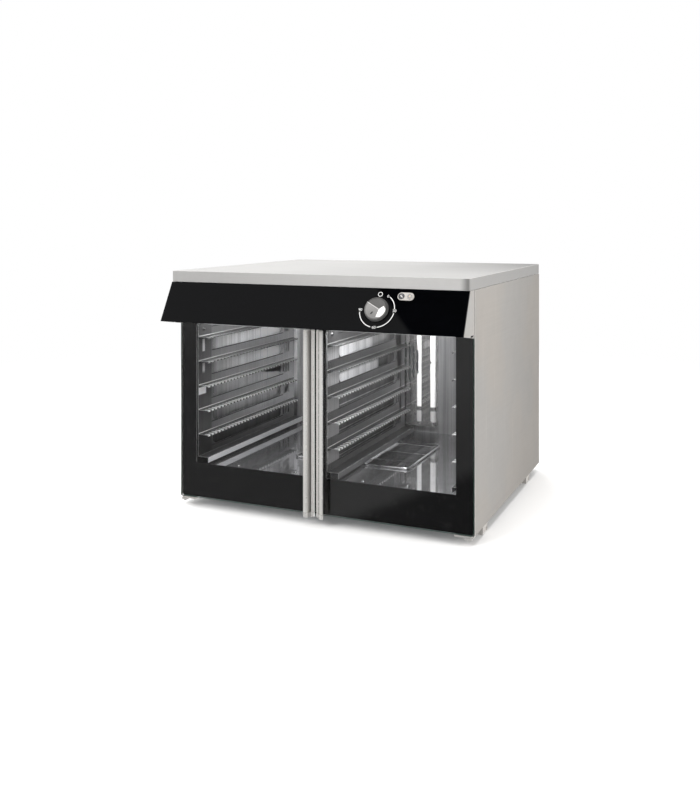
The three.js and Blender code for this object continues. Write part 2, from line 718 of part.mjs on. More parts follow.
// hexagons on both sides of the back panel, joined by a bored barrel
function cableGland() {
  const hexagon = circle(CABLE_X, CABLE_Z, 14, 6, 0);
  const barrel = (radius, y0, y1, sides) => cylinderY(CABLE_X, CABLE_Z, radius, y0, y1, sides);
  return prismY(hexagon, BACK - 0.1, BACK + 6)
    .add(barrel(10, BACK - 10, BACK, 18))
    .add(barrel(11, BACK + 5.9, BACK + 12, 18))
    .add(prismY(hexagon, BACK - 8, BACK_FACE))
    .subtract(barrel(4.5, BACK - 20, BACK + 20, 14));
}

// out through the gland, then bent down towards the floor
function powerCable() {
  const bendStart = BACK + 14;
  const bend = 15;
  // inside run: [x from the outlet, y from the back]
  const inside = [[-34, -22], [-14, -22], [-6, -21.2], [-1.4, -18], [0, -13]];
  return rod([
    ...inside.map(([x, y]) => [CABLE_X + x, BACK + y, CABLE_Z]),
    ...arc([CABLE_X, bendStart, CABLE_Z - bend], bend, [0, 0, 1], [0, 1, 0], 0, Math.PI / 2, 6),
    [CABLE_X, bendStart + bend, 8],
  ], 4, 10);
}

// ================================================================== feet
// block with the lower part of its inner and outer sides set back between the ends
function foot(front) {
  const recess = (x0, x1) => box(x0, x1, front + 2.4, front + 44.6, -1, 13.5);
  return box(418.6, 462.6, front, front + 47, 0, 27.3)
    .subtract(recess(460.2, 470))
    .subtract(recess(410, 421));
}

// ================================================================== assembly
const cabinet = new THREE.Group();

function addGeometry(name, geometry, finish) {
  geometry.computeVertexNormals();
  const mesh = new THREE.Mesh(geometry, new THREE.MeshStandardMaterial(finish));
  mesh.name = name;
  cabinet.add(mesh);
}
const add = (name, shape, finish) => addGeometry(name, geometryOf(shape), finish);

// the same piece on both sides; sides names the drawn side first
function pair(name, shape, finish, sides = ['right', 'left']) {
  const geometry = geometryOf(shape);
  addGeometry(`${name}_${sides[0]}`, geometry, finish);
  addGeometry(`${name}_${sides[1]}`, mirrored(geometry), finish);
}

add('top_panel', topPanel(), FINISH.stainless);
pair('side_panel', sidePanel(), FINISH.stainless);
add('back_panel', backPanel(), FINISH.stainless);
add('base_pan', basePan(), FINISH.galvanised);
add('front_frame', frontFrame(), FINISH.innerStainless);

add('chamber_liner', chamberLiner(), FINISH.innerStainless);
add('chamber_floor', chamberFloor(), FINISH.innerStainless);
pair('rack', sideRack(), FINISH.innerStainless, ['left', 'right']);
pair('rack_centre', middleRack(), FINISH.innerStainless);
add('rack_divider', rackDivider(), FINISH.innerStainless);
add('basin_guard', basinGuard(), FINISH.chrome);
add('rear_duct', rearDuct(), FINISH.innerStainless);
add('fan_wheel', fanWheel(), FINISH.galvanised);
add('fan_motor', fanMotor(), FINISH.darkPlastic);
add('heater_ring', heaterRing(), FINISH.heaterTube);
// flat mat under the basin
add('basin_heater', prismZ(roundedRect(-150, 150, 296, 500, 16, 3), 80.6, 83.8),
  FINISH.heatingMat);
add('thermostat_bulb', thermostatBulb(), FINISH.copper);
add('insulation_wrap', insulationWrap(), FINISH.wool);
add('insulation_back', insulationBack(), FINISH.wool);
add('insulation_bottom', box(-438, 438, 34, 734, 31, 76), FINISH.wool);

add('control_housing', controlHousing(), FINISH.stainless);
add('fascia_glass', fasciaGlass(), FINISH.blackGlass);
add('control_knob', controlKnob(), FINISH.knob);
add('thermostat_shaft', framedDisc(3, 16, -20, 7.6, KNOB_FRAME), FINISH.shaft);
add('thermostat_body', thermostatBody(), FINISH.thermostat);
add('lamp_bezel', lampBezel(), FINISH.chrome);
add('lamp_power', lamp(-1), FINISH.darkLamp);
add('lamp_heating', lamp(1), FINISH.paleLamp);

pair('door_glass', doorGlass(), FINISH.clearGlass);
pair('door_frame', doorFrame(), FINISH.blackFrame);
pair('door_gasket', doorGasket(), FINISH.rubber);
pair('door_handle', prismZ(HANDLE_SECTION, 38, 558), FINISH.aluminium);
pair('handle_cap_lower', prismZ(CAP_SECTION, 24, 37.7), FINISH.aluminium);
pair('handle_cap_upper', prismZ(CAP_SECTION, 558.3, 561.3), FINISH.aluminium);
pair('door_pivot_lower', pivotPlate(LOWER_PIVOT_Z), FINISH.stainless);
pair('door_pivot_upper', pivotPlate(UPPER_PIVOT_Z), FINISH.stainless);
// the lower bracket also has a round boss under its arm
pair('hinge_bracket_lower', hingeBracket(LOWER_BRACKET, 21, 27)
  .add(cylinderZ(PIVOT.x, PIVOT.y, 6, 15, 18, 16)), FINISH.stainless);
pair('hinge_bracket_upper', hingeBracket(UPPER_BRACKET, 567, 573.5), FINISH.stainless);
pair('magnet_catch', box(14, 38, 16.5, SEAT_Y, 60, 76), FINISH.darkPlastic);

add('terminal_block', terminalBlock(), FINISH.terminal);
add('cable_gland', cableGland(), FINISH.darkPlastic);
add('power_cable', powerCable(), FINISH.rubber);
pair('foot_front', foot(102), FINISH.stainless);
pair('foot_rear', foot(641), FINISH.stainless);

// common origin: centre of the footprint, on the floor
const bounds = new THREE.Box3().setFromObject(cabinet);
const centre = bounds.getCenter(new THREE.Vector3());
cabinet.position.set(-centre.x, -centre.y, -bounds.min.z);
cabinet.updateMatrixWorld(true);

export default cabinet;
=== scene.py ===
import bpy, bmesh, json, math
from mathutils import Matrix, Vector

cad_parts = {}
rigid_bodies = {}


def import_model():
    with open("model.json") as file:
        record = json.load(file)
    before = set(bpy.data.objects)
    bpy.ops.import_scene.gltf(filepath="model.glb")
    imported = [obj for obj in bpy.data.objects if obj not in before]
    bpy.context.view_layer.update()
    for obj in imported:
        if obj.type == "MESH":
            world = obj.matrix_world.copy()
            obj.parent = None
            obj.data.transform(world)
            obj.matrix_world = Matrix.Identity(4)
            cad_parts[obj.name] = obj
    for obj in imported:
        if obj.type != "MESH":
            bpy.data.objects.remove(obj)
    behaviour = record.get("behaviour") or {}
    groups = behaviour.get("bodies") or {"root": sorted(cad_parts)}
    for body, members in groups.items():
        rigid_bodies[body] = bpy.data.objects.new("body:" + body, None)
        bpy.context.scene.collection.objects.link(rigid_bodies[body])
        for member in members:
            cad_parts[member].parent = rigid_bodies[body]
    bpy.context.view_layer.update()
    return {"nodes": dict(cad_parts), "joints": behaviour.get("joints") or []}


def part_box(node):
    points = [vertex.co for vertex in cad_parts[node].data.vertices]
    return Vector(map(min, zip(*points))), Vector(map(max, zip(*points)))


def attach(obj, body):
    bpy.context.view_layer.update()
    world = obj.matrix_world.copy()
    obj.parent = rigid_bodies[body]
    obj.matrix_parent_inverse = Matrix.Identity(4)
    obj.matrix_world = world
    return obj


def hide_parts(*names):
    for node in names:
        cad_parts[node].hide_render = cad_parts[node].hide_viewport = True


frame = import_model()
NODES = frame["nodes"]
scene = bpy.context.scene
TAU = 2 * math.pi

# ---------------------------------------------------------------- places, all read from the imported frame
FACE_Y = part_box("door_glass_right")[0].y            # front face of the closed doors


def mm(x, y, z):
    """Millimetres from the door face (y) and the floor (z), in the row frame."""
    return Vector((x / 1000, y / 1000 + FACE_Y, z / 1000))


def joint(name):
    return next(j for j in frame["joints"] if j["name"] == name)


knob_at = Vector(joint("knob_turn")["pos_m"])
n_out = Vector(joint("knob_turn")["axis"]).normalized()   # out of the fascia
n_up = n_out.cross(Vector((1, 0, 0))).normalized()        # up the slope
if n_up.z < 0:
    n_up = -n_up
lamp_lo, lamp_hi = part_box("lamp_bezel")
lamp_x = (lamp_lo.x + lamp_hi.x) / 2
lamp_z = (lamp_lo.z + lamp_hi.z) / 2


def fascia_frame(x, z):
    """Matrix with x to the right, y up the slope and z out of the fascia glass, its origin on the glass face."""
    y = knob_at.y + (z - knob_at.z) * (n_up.y / n_up.z)
    m = Matrix.Identity(4)
    for i, v in enumerate((Vector((1, 0, 0)), n_up, n_out, Vector((x, y, z)))):
        m.col[i][:3] = v
    return m


# ---------------------------------------------------------------- shader graphs
class Graph:
    def __init__(self, name):
        self.mat = bpy.data.materials.new(name)
        self.mat.use_nodes = True
        self.nt = self.mat.node_tree
        self.nt.nodes.clear()
        self.tc = self.nt.nodes.new("ShaderNodeTexCoord")
        self.obj = self.tc.outputs["Object"]

    def put(self, socket, v):
        if isinstance(v, bpy.types.Node):
            v = v.outputs[0]
        if isinstance(v, bpy.types.NodeSocket):
            self.nt.links.new(v, socket)
        elif v is not None:
            if hasattr(socket.default_value, "__len__") and not hasattr(v, "__len__"):
                v = [v] * len(socket.default_value)
            if hasattr(v, "__len__") and len(socket.default_value) == 4 and len(v) == 3:
                v = (*v, 1.0)
            socket.default_value = v

    def node(self, kind, ins=None, **props):
        nd = self.nt.nodes.new(kind)
        for k, v in props.items():
            setattr(nd, k, v)
        for k, v in (ins or {}).items():
            self.put(nd.inputs[k], v)
        return nd

    def math(self, op, a, b=None, c=None, clamp=False):
        nd = self.node("ShaderNodeMath", operation=op, use_clamp=clamp)
        for i, v in enumerate((a, b, c)):
            if v is not None:
                self.put(nd.inputs[i], v)
        return nd.outputs[0]

    def vmath(self, op, a, b=None, out=0):
        nd = self.node("ShaderNodeVectorMath", operation=op)
        self.put(nd.inputs[0], a)
        if b is not None:
            self.put(nd.inputs[1], b)
        return nd.outputs[out]

    def xyz(self, v):
        nd = self.node("ShaderNodeSeparateXYZ", {0: v})
        return nd.outputs

    def remap(self, v, a, b, c, d, kind="LINEAR"):
        nd = self.node("ShaderNodeMapRange", interpolation_type=kind, clamp=True)
        for k, x in zip(("Value", "From Min", "From Max", "To Min", "To Max"), (v, a, b, c, d)):
            self.put(nd.inputs[k], x)
        return nd.outputs[0]

    def scaled(self, scale, vec=None, rot=None, loc=None):
        nd = self.node("ShaderNodeMapping", {"Vector": vec if vec is not None else self.obj})
        nd.inputs["Scale"].default_value = scale if hasattr(scale, "__len__") else (scale,) * 3
        if rot:
            nd.inputs["Rotation"].default_value = rot
        if loc:
            nd.inputs["Location"].default_value = loc
        return nd.outputs[0]

    def noise(self, scale, detail=3.0, rough=0.55, vec=None, rot=None, loc=None, distortion=0.0):
        nd = self.node("ShaderNodeTexNoise", {"Vector": self.scaled(scale, vec, rot, loc), "Scale": 1.0,
                                              "Detail": detail, "Roughness": rough, "Distortion": distortion})
        return nd.outputs[0]

    def mix(self, fac, a, b, blend="MIX"):
        nd = self.node("ShaderNodeMix", data_type="RGBA", blend_type=blend, clamp_factor=True)
        self.put(nd.inputs[0], fac)
        self.put(nd.inputs[6], a)
        self.put(nd.inputs[7], b)
        return nd.outputs[2]

    def shade(self, colour, value):
        """colour times a grey value around 1."""
        nd = self.node("ShaderNodeVectorMath", operation="SCALE")
        self.put(nd.inputs[0], colour)
        self.put(nd.inputs["Scale"], value)
        return nd.outputs[0]

    def bump(self, height, distance, strength=1.0, normal=None):
        nd = self.node("ShaderNodeBump", {"Height": height, "Distance": distance, "Strength": strength})
        if normal is not None:
            self.put(nd.inputs["Normal"], normal)
        return nd.outputs[0]

    def principled(self, **ins):
        nd = self.nt.nodes.new("ShaderNodeBsdfPrincipled")
        for k, v in ins.items():
            self.put(nd.inputs[k.replace("_", " ")], v)
        return nd.outputs[0]

    def done(self, shader):
        out = self.nt.nodes.new("ShaderNodeOutputMaterial")
        self.nt.links.new(shader, out.inputs["Surface"])
        return self.mat


def lin(r, g, b):
    """sRGB 0-255 to linear."""
    f = lambda c: c / 12.92 if c <= 0.04045 else ((c + 0.055) / 1.055) ** 2.4
    return tuple(f(c / 255) for c in (r, g, b))


def brushed(name, base, rough=0.34, metal=0.75, axis="y", grain=0.05, blotch=0.05, tint=(1.03, 1.0, 0.97),
            aniso=0.55, fine=700.0, bump=0.00002, smudge=0.05, painted_shade_ramp=None):
    """Satin sheet metal, brushed along one axis, with slow tone drift, handling smudges and fine scratches."""
    g = Graph(name)
    k = "xyz".index(axis)
    across = [fine] * 3
    across[k] = 5.0
    wide = [fine * 0.22] * 3
    wide[k] = 1.6
    lines = g.noise(tuple(across), 2.0, 0.65)
    bands = g.noise(tuple(wide), 2.0, 0.5, loc=(3.1, 1.7, 0.4))
    slow = g.noise(3.2, 3.0, 0.6, loc=(1.3, 8.2, 2.2))
    touch = g.noise(11.0, 5.0, 0.62, loc=(4.0, 0.2, 7.7), distortion=0.6)
    scratch = g.noise((140.0, 2.2, 140.0) if axis != "y" else (140.0, 140.0, 2.4), 1.0, 0.5, rot=(0.35, 0.2, 0.5))
    scratch = g.remap(scratch, 0.70, 0.735, 0.0, 1.0)
    v = g.math("ADD", g.math("MULTIPLY", g.math("SUBTRACT", lines, 0.5), grain * 2.2),
               g.math("MULTIPLY", g.math("SUBTRACT", bands, 0.5), grain * 1.6))
    v = g.math("ADD", v, g.math("MULTIPLY", g.math("SUBTRACT", slow, 0.5), blotch * 2.0))
    v = g.math("ADD", g.math("ADD", v, 1.0), g.math("MULTIPLY", scratch, 0.03))
    warm = tuple(c * t for c, t in zip(base, tint))
    colour = g.mix(g.remap(slow, 0.38, 0.62, 0.0, 1.0, "SMOOTHSTEP"), base, warm)
    if painted_shade_ramp:                                     # (axis, from, to, dark value): painted shade, a slow drop of tone along the sheet where less light falls
        c = g.xyz(g.obj)["XYZ".index(painted_shade_ramp[0].upper())]
        v = g.math("MULTIPLY", v, g.remap(c, painted_shade_ramp[1], painted_shade_ramp[2], 1.0, painted_shade_ramp[3], "SMOOTHSTEP"))
    colour = g.shade(colour, v)
    r = g.math("ADD", g.math("MULTIPLY", g.math("SUBTRACT", lines, 0.5), 0.16), rough)
    r = g.math("ADD", r, g.math("MULTIPLY", g.remap(touch, 0.45, 0.7, 0.0, 1.0), smudge))
    r = g.math("SUBTRACT", r, g.math("MULTIPLY", scratch, 0.08), clamp=True)
    nrm = g.bump(g.math("ADD", lines, g.math("MULTIPLY", scratch, 0.8)), bump, 0.6)
    d = [0.0, 0.0, 0.0]
    d[k] = 1.0
    tan = g.node("ShaderNodeVectorTransform", {"Vector": tuple(d)}, vector_type="VECTOR", convert_from="OBJECT", convert_to="WORLD")
    return g.done(g.principled(Base_Color=colour, Metallic=metal, Roughness=r, Anisotropic=aniso, Tangent=tan, Normal=nrm))


def worn_highlit_edge(name, base, rough=0.22, metal=0.9, paint=None):
    """The bend or cut edge of a sheet: smoother than its face, and a little brighter, partly wear and partly a painted
    edge highlight.
    """
    g = Graph(name)
    if paint:
        base = g.shade(base, paint(g))
    s = g.noise(60.0, 4.0, 0.6)
    v = g.remap(s, 0.35, 0.65, 0.9, 1.12)
    r = g.remap(s, 0.35, 0.65, rough + 0.1, rough)
    return g.done(g.principled(Base_Color=g.shade(base, v), Metallic=metal, Roughness=r, Normal=g.bump(s, 0.00005, 0.4)))


def bright_sheet(name, base, rough=0.16, metal=0.92, ripple=0.00012, haze=0.10, tone=0.06, paint=None, plain=None):
    """Bright annealed sheet of the chamber: nearly a mirror, with slight waviness, haze and water spots."""
    g = Graph(name)
    if paint:                                    # tone of the sheet by the direction and place of its faces, mostly painted light and shade, and for the floor its own streaks
        base = g.shade(base, paint(g))
    wave = g.noise(9.0, 2.0, 0.5)
    roll = g.noise((260.0, 4.0, 260.0), 2.0, 0.5)
    dirt = g.noise(26.0, 5.0, 0.65, loc=(5.5, 1.0, 2.0))
    spots = g.node("ShaderNodeTexVoronoi", {"Vector": g.scaled(95.0), "Scale": 1.0, "Randomness": 1.0})
    ring = g.remap(spots.outputs["Distance"], 0.10, 0.16, 1.0, 0.0)
    ring = g.math("MULTIPLY", ring, g.remap(dirt, 0.55, 0.7, 0.0, 1.0))
    v = g.math("ADD", 1.0, g.math("MULTIPLY", g.math("SUBTRACT", dirt, 0.5), tone * 2))
    v = g.math("ADD", v, g.math("MULTIPLY", g.math("SUBTRACT", roll, 0.5), 0.05))
    r = g.math("ADD", rough, g.math("MULTIPLY", g.remap(dirt, 0.4, 0.72, 0.0, 1.0), haze))
    r = g.math("ADD", r, g.math("MULTIPLY", ring, 0.12))
    nrm = g.bump(g.math("ADD", wave, g.math("MULTIPLY", roll, 0.02)), ripple, 1.0)
    if plain:                                    # places with a satin, less mirror-like finish; on the duct these carry its painted highlight bands
        metal = g.math("MULTIPLY", metal, g.math("SUBTRACT", 1.0, plain(g)))
    return g.done(g.principled(Base_Color=g.shade(base, v), Metallic=metal, Roughness=r, Normal=nrm, Specular_IOR_Level=0.3))


def gloss_black(name, base, rough=0.05, spec=0.5, prints=True):
    """Back-printed black glass: deep black, polished, with faint wiping marks."""
    g = Graph(name)
    wipe = g.noise((16.0, 60.0, 60.0), 4.0, 0.6, rot=(0.0, 0.0, 0.3))
    print_ = g.noise(120.0, 4.0, 0.7, loc=(2, 2, 2))
    r = g.math("ADD", rough, g.math("MULTIPLY", g.remap(wipe, 0.52, 0.78, 0.0, 1.0), 0.015))
    r = g.math("ADD", r, g.math("MULTIPLY", g.remap(print_, 0.66, 0.8, 0.0, 1.0), 0.02))
    colour = g.shade(base, g.remap(wipe, 0.3, 0.75, 0.85, 1.3))
    return g.done(g.principled(Base_Color=colour, Metallic=0.0, Roughness=r, Specular_IOR_Level=spec, IOR=1.5))


def clear_glass(name, tint=(0.985, 0.987, 0.99), edge=(0.10, 0.20, 0.17)):
    """Clear toughened glass: light passes straight through, both faces reflect, and the ground edges look dark green."""
    g = Graph(name)
    geo = g.node("ShaderNodeNewGeometry")
    cos = g.math("ABSOLUTE", g.vmath("DOT_PRODUCT", geo.outputs["Normal"], geo.outputs["Incoming"], out=1))
    inv = g.math("SUBTRACT", 1.0, cos, clamp=True)
    fres = g.math("ADD", 0.055, g.math("MULTIPLY", g.math("POWER", inv, 5.0), 0.9), clamp=True)
    fres = g.math("MULTIPLY", fres, g.math("SUBTRACT", 1.0, geo.outputs["Backfacing"]))
    film = g.noise((9.0, 9.0, 9.0), 5.0, 0.65, distortion=0.8)
    touch = g.noise(170.0, 3.0, 0.7, loc=(1, 4, 2))
    haze = g.math("MULTIPLY", g.remap(film, 0.5, 0.8, 0.0, 1.0), g.remap(touch, 0.4, 0.7, 0.3, 1.0))
    rough = g.math("ADD", 0.0, g.math("MULTIPLY", haze, 0.012))
    clear = g.node("ShaderNodeBsdfTransparent", {"Color": tint})
    gloss = g.node("ShaderNodeBsdfGlossy", {"Color": (1, 1, 1), "Roughness": rough})
    milk = g.node("ShaderNodeBsdfDiffuse", {"Color": (0.75, 0.75, 0.75)})
    body = g.node("ShaderNodeMixShader", {0: g.math("MULTIPLY", haze, 0.0015), 1: clear.outputs[0], 2: milk.outputs[0]})
    face = g.node("ShaderNodeMixShader", {0: fres, 1: body.outputs[0], 2: gloss.outputs[0]})
    rim = g.principled(Base_Color=edge, Roughness=0.28, Specular_IOR_Level=0.5,
                       Normal=g.bump(g.noise(900.0, 2.0), 0.00004, 0.6))
    n = g.xyz(g.node("ShaderNodeVectorTransform", {"Vector": geo.outputs["True Normal"]}, vector_type="NORMAL",
                     convert_from="WORLD", convert_to="OBJECT").outputs[0])
    is_rim = g.math("LESS_THAN", g.math("ABSOLUTE", n["Y"]), 0.6)
    return g.done(g.node("ShaderNodeMixShader", {0: is_rim, 1: face.outputs[0], 2: rim}).outputs[0])


def moulded(name, base, rough=0.5, pits=0.00006, scale=900.0, spec=0.45, var=0.08, metal=0.0, coat=0.0):
    """Moulded or painted surface with fine texture and slight tone drift."""
    g = Graph(name)
    fine = g.noise(scale, 3.0, 0.6)
    slow = g.noise(22.0, 4.0, 0.6, loc=(7, 1, 3))
    dust = g.remap(g.noise(48.0, 5.0, 0.7, loc=(3, 3, 9)), 0.55, 0.8, 0.0, 1.0)
    v = g.math("ADD", 1.0, g.math("MULTIPLY", g.math("SUBTRACT", slow, 0.5), var * 2))
    colour = g.mix(g.math("MULTIPLY", dust, 0.03), g.shade(base, v), (0.5, 0.48, 0.45))
    r = g.math("ADD", rough, g.math("MULTIPLY", g.math("SUBTRACT", slow, 0.5), 0.16))
    return g.done(g.principled(Base_Color=colour, Roughness=r, Specular_IOR_Level=spec, Metallic=metal, Coat_Weight=coat,
                               Normal=g.bump(fine, pits, 0.7)))


def plated(name, base, rough=0.07, pits=0.00002):
    """Polished plating: bright, with soft cloudiness and pin marks."""
    g = Graph(name)
    cloud = g.noise(70.0, 4.0, 0.6)
    fine = g.noise(1500.0, 2.0, 0.6)
    r = g.math("ADD", rough, g.math("MULTIPLY", g.remap(cloud, 0.45, 0.75, 0.0, 1.0), 0.10))
    return g.done(g.principled(Base_Color=g.shade(base, g.remap(cloud, 0.3, 0.7, 1.04, 0.93)), Metallic=1.0, Roughness=r,
                               Normal=g.bump(fine, pits, 0.5)))


def window(g, v, a, b, soft=0.001):
    """1 between a and b, 0 outside."""
    return g.math("MULTIPLY", g.remap(v, a - soft, a + soft, 0.0, 1.0), g.remap(v, b - soft, b + soft, 1.0, 0.0))


def extruded_aluminium(name, base, rough=0.36, metal=0.7):
    """Satin anodised extrusion: die lines run along it, with a fine etched grain; its recess, corner and meeting gap
    carry painted shade and its meeting edge a painted highlight.
    """
    g = Graph(name)
    die = g.noise((1300.0, 1300.0, 1.5), 2.0, 0.6)
    etch = g.noise(1800.0, 2.0, 0.7)
    slow = g.noise((30.0, 30.0, 6.0), 3.0, 0.6)
    v = g.math("ADD", 1.0, g.math("MULTIPLY", g.math("SUBTRACT", die, 0.5), 0.10))
    v = g.math("ADD", v, g.math("MULTIPLY", g.math("SUBTRACT", slow, 0.5), 0.08))
    p = g.xyz(g.obj)
    x = g.math("ABSOLUTE", p["X"])
    # painted shade in the groove recess and beside the corner, a painted dark gap at the meeting face, a painted
    # highlight on the meeting edge
    recess = g.math("MULTIPLY", window(g, x, 0.0124, 0.0192, 0.0002), g.remap(p["Y"], FACE_Y - 0.0262, FACE_Y - 0.0232, 0.0, 1.0))
    corner = g.math("MULTIPLY", window(g, x, 0.0118, 0.0150, 0.0003), g.remap(p["Y"], FACE_Y - 0.0125, FACE_Y - 0.0115, 0.0, 1.0))
    meet = g.math("MULTIPLY", g.remap(x, 0.0041, 0.0044, 1.0, 0.0), g.remap(p["Y"], FACE_Y - 0.0072, FACE_Y - 0.0064, 0.0, 1.0))
    edge = g.math("MULTIPLY", g.remap(x, 0.0041, 0.0044, 1.0, 0.0), g.remap(p["Y"], FACE_Y - 0.0072, FACE_Y - 0.0064, 1.0, 0.0))
    v = g.math("MULTIPLY", v, g.remap(recess, 0.0, 1.0, 1.0, 0.50))
    v = g.math("MULTIPLY", v, g.remap(corner, 0.0, 1.0, 1.0, 0.75))
    v = g.math("MULTIPLY", v, g.remap(edge, 0.0, 1.0, 1.0, 1.5))
    v = g.math("MULTIPLY", v, g.remap(meet, 0.0, 1.0, 1.0, 0.02))
    grip = g.remap(g.noise(34.0, 5.0, 0.65, loc=(9, 9, 1)), 0.5, 0.75, 0.0, 0.07)
    r = g.math("ADD", g.math("ADD", rough, g.math("MULTIPLY", g.math("SUBTRACT", die, 0.5), 0.12)), grip)
    nrm = g.bump(g.math("ADD", die, g.math("MULTIPLY", etch, 0.35)), 0.000025, 0.6)
    tan = g.node("ShaderNodeVectorTransform", {"Vector": (0, 0, 1)}, vector_type="VECTOR", convert_from="OBJECT", convert_to="WORLD")
    # the meeting edge also glows a little: painted highlight
    return g.done(g.principled(Base_Color=g.shade(base, v), Metallic=metal, Roughness=r, Anisotropic=0.5, Tangent=tan, Normal=nrm,
                               Emission_Color=(1.0, 0.99, 0.97), Emission_Strength=g.math("MULTIPLY", edge, 0.35)))


def spangled(name, base):
    """Hot-dip galvanised sheet with zinc spangle."""
    g = Graph(name)
    cells = g.node("ShaderNodeTexVoronoi", {"Vector": g.scaled(60.0), "Scale": 1.0, "Randomness": 1.0})
    tone = g.math("MULTIPLY", g.xyz(cells.outputs["Color"])["X"], 1.0)
    fine = g.noise(400.0, 4.0, 0.6)
    v = g.remap(tone, 0.0, 1.0, 0.78, 1.1)
    r = g.math("ADD", g.remap(tone, 0.0, 1.0, 0.32, 0.55), g.math("MULTIPLY", fine, 0.1))
    return g.done(g.principled(Base_Color=g.shade(base, v), Metallic=0.85, Roughness=r,
                               Normal=g.bump(g.math("ADD", tone, fine), 0.00005, 0.5)))


def wool(name, base):
    """Mineral wool slab: matted fibres in layers."""
    g = Graph(name)
    fibre = g.noise((500.0, 90.0, 900.0), 4.0, 0.7, distortion=1.5)
    layer = g.noise((30.0, 30.0, 420.0), 3.0, 0.6)
    clump = g.noise(60.0, 4.0, 0.6)
    v = g.math("ADD", g.remap(fibre, 0.25, 0.75, 0.6, 1.25), g.math("MULTIPLY", g.math("SUBTRACT", layer, 0.5), 0.35))
    h = g.math("ADD", fibre, g.math("MULTIPLY", clump, 2.0))
    return g.done(g.principled(Base_Color=g.shade(base, v), Roughness=0.95, Specular_IOR_Level=0.1, Sheen_Weight=0.4,
                               Normal=g.bump(h, 0.0012, 1.0)))


def silicone(name, base, rough=0.6, axis="z"):
    """Extruded silicone: matt, slightly dusty, with draw lines."""
    g = Graph(name)
    s = [700.0] * 3
    s["xyz".index(axis)] = 8.0
    draw = g.noise(tuple(s), 2.0, 0.6)
    dust = g.remap(g.noise(40.0, 5.0, 0.7), 0.48, 0.8, 0.0, 1.0)
    colour = g.mix(g.math("MULTIPLY", dust, 0.12), g.shade(base, g.remap(draw, 0.3, 0.7, 0.85, 1.15)), (0.35, 0.35, 0.34))
    return g.done(g.principled(Base_Color=colour, Roughness=g.math("ADD", rough, g.math("MULTIPLY", dust, 0.2)),
                               Specular_IOR_Level=0.35, Sheen_Weight=0.08, Normal=g.bump(draw, 0.00006, 0.6)))


def turned(name, base, rough=0.2, metal=1.0):
    """Turned metal face: concentric tool lines about local z, so highlights open out as wedges."""
    g = Graph(name)
    p = g.xyz(g.obj)
    rad = g.math("SQRT", g.math("ADD", g.math("MULTIPLY", p["X"], p["X"]), g.math("MULTIPLY", p["Y"], p["Y"])))
    rings = g.node("ShaderNodeTexNoise", {"Vector": g.node("ShaderNodeCombineXYZ", {"X": g.math("MULTIPLY", rad, 4200.0)}),
                                          "Scale": 1.0, "Detail": 3.0, "Roughness": 0.6}).outputs[0]
    wear = g.noise(160.0, 4.0, 0.65)
    v = g.math("ADD", g.remap(rings, 0.25, 0.75, 0.88, 1.1), g.math("MULTIPLY", g.math("SUBTRACT", wear, 0.5), 0.08))
    r = g.math("ADD", rough, g.math("MULTIPLY", g.math("SUBTRACT", rings, 0.5), 0.12))
    tan = g.node("ShaderNodeTangent", direction_type="RADIAL", axis="Z")
    return g.done(g.principled(Base_Color=g.shade(base, v), Metallic=metal, Roughness=r, Anisotropic=0.85, Tangent=tan,
                               Normal=g.bump(rings, 0.00003, 0.5)))


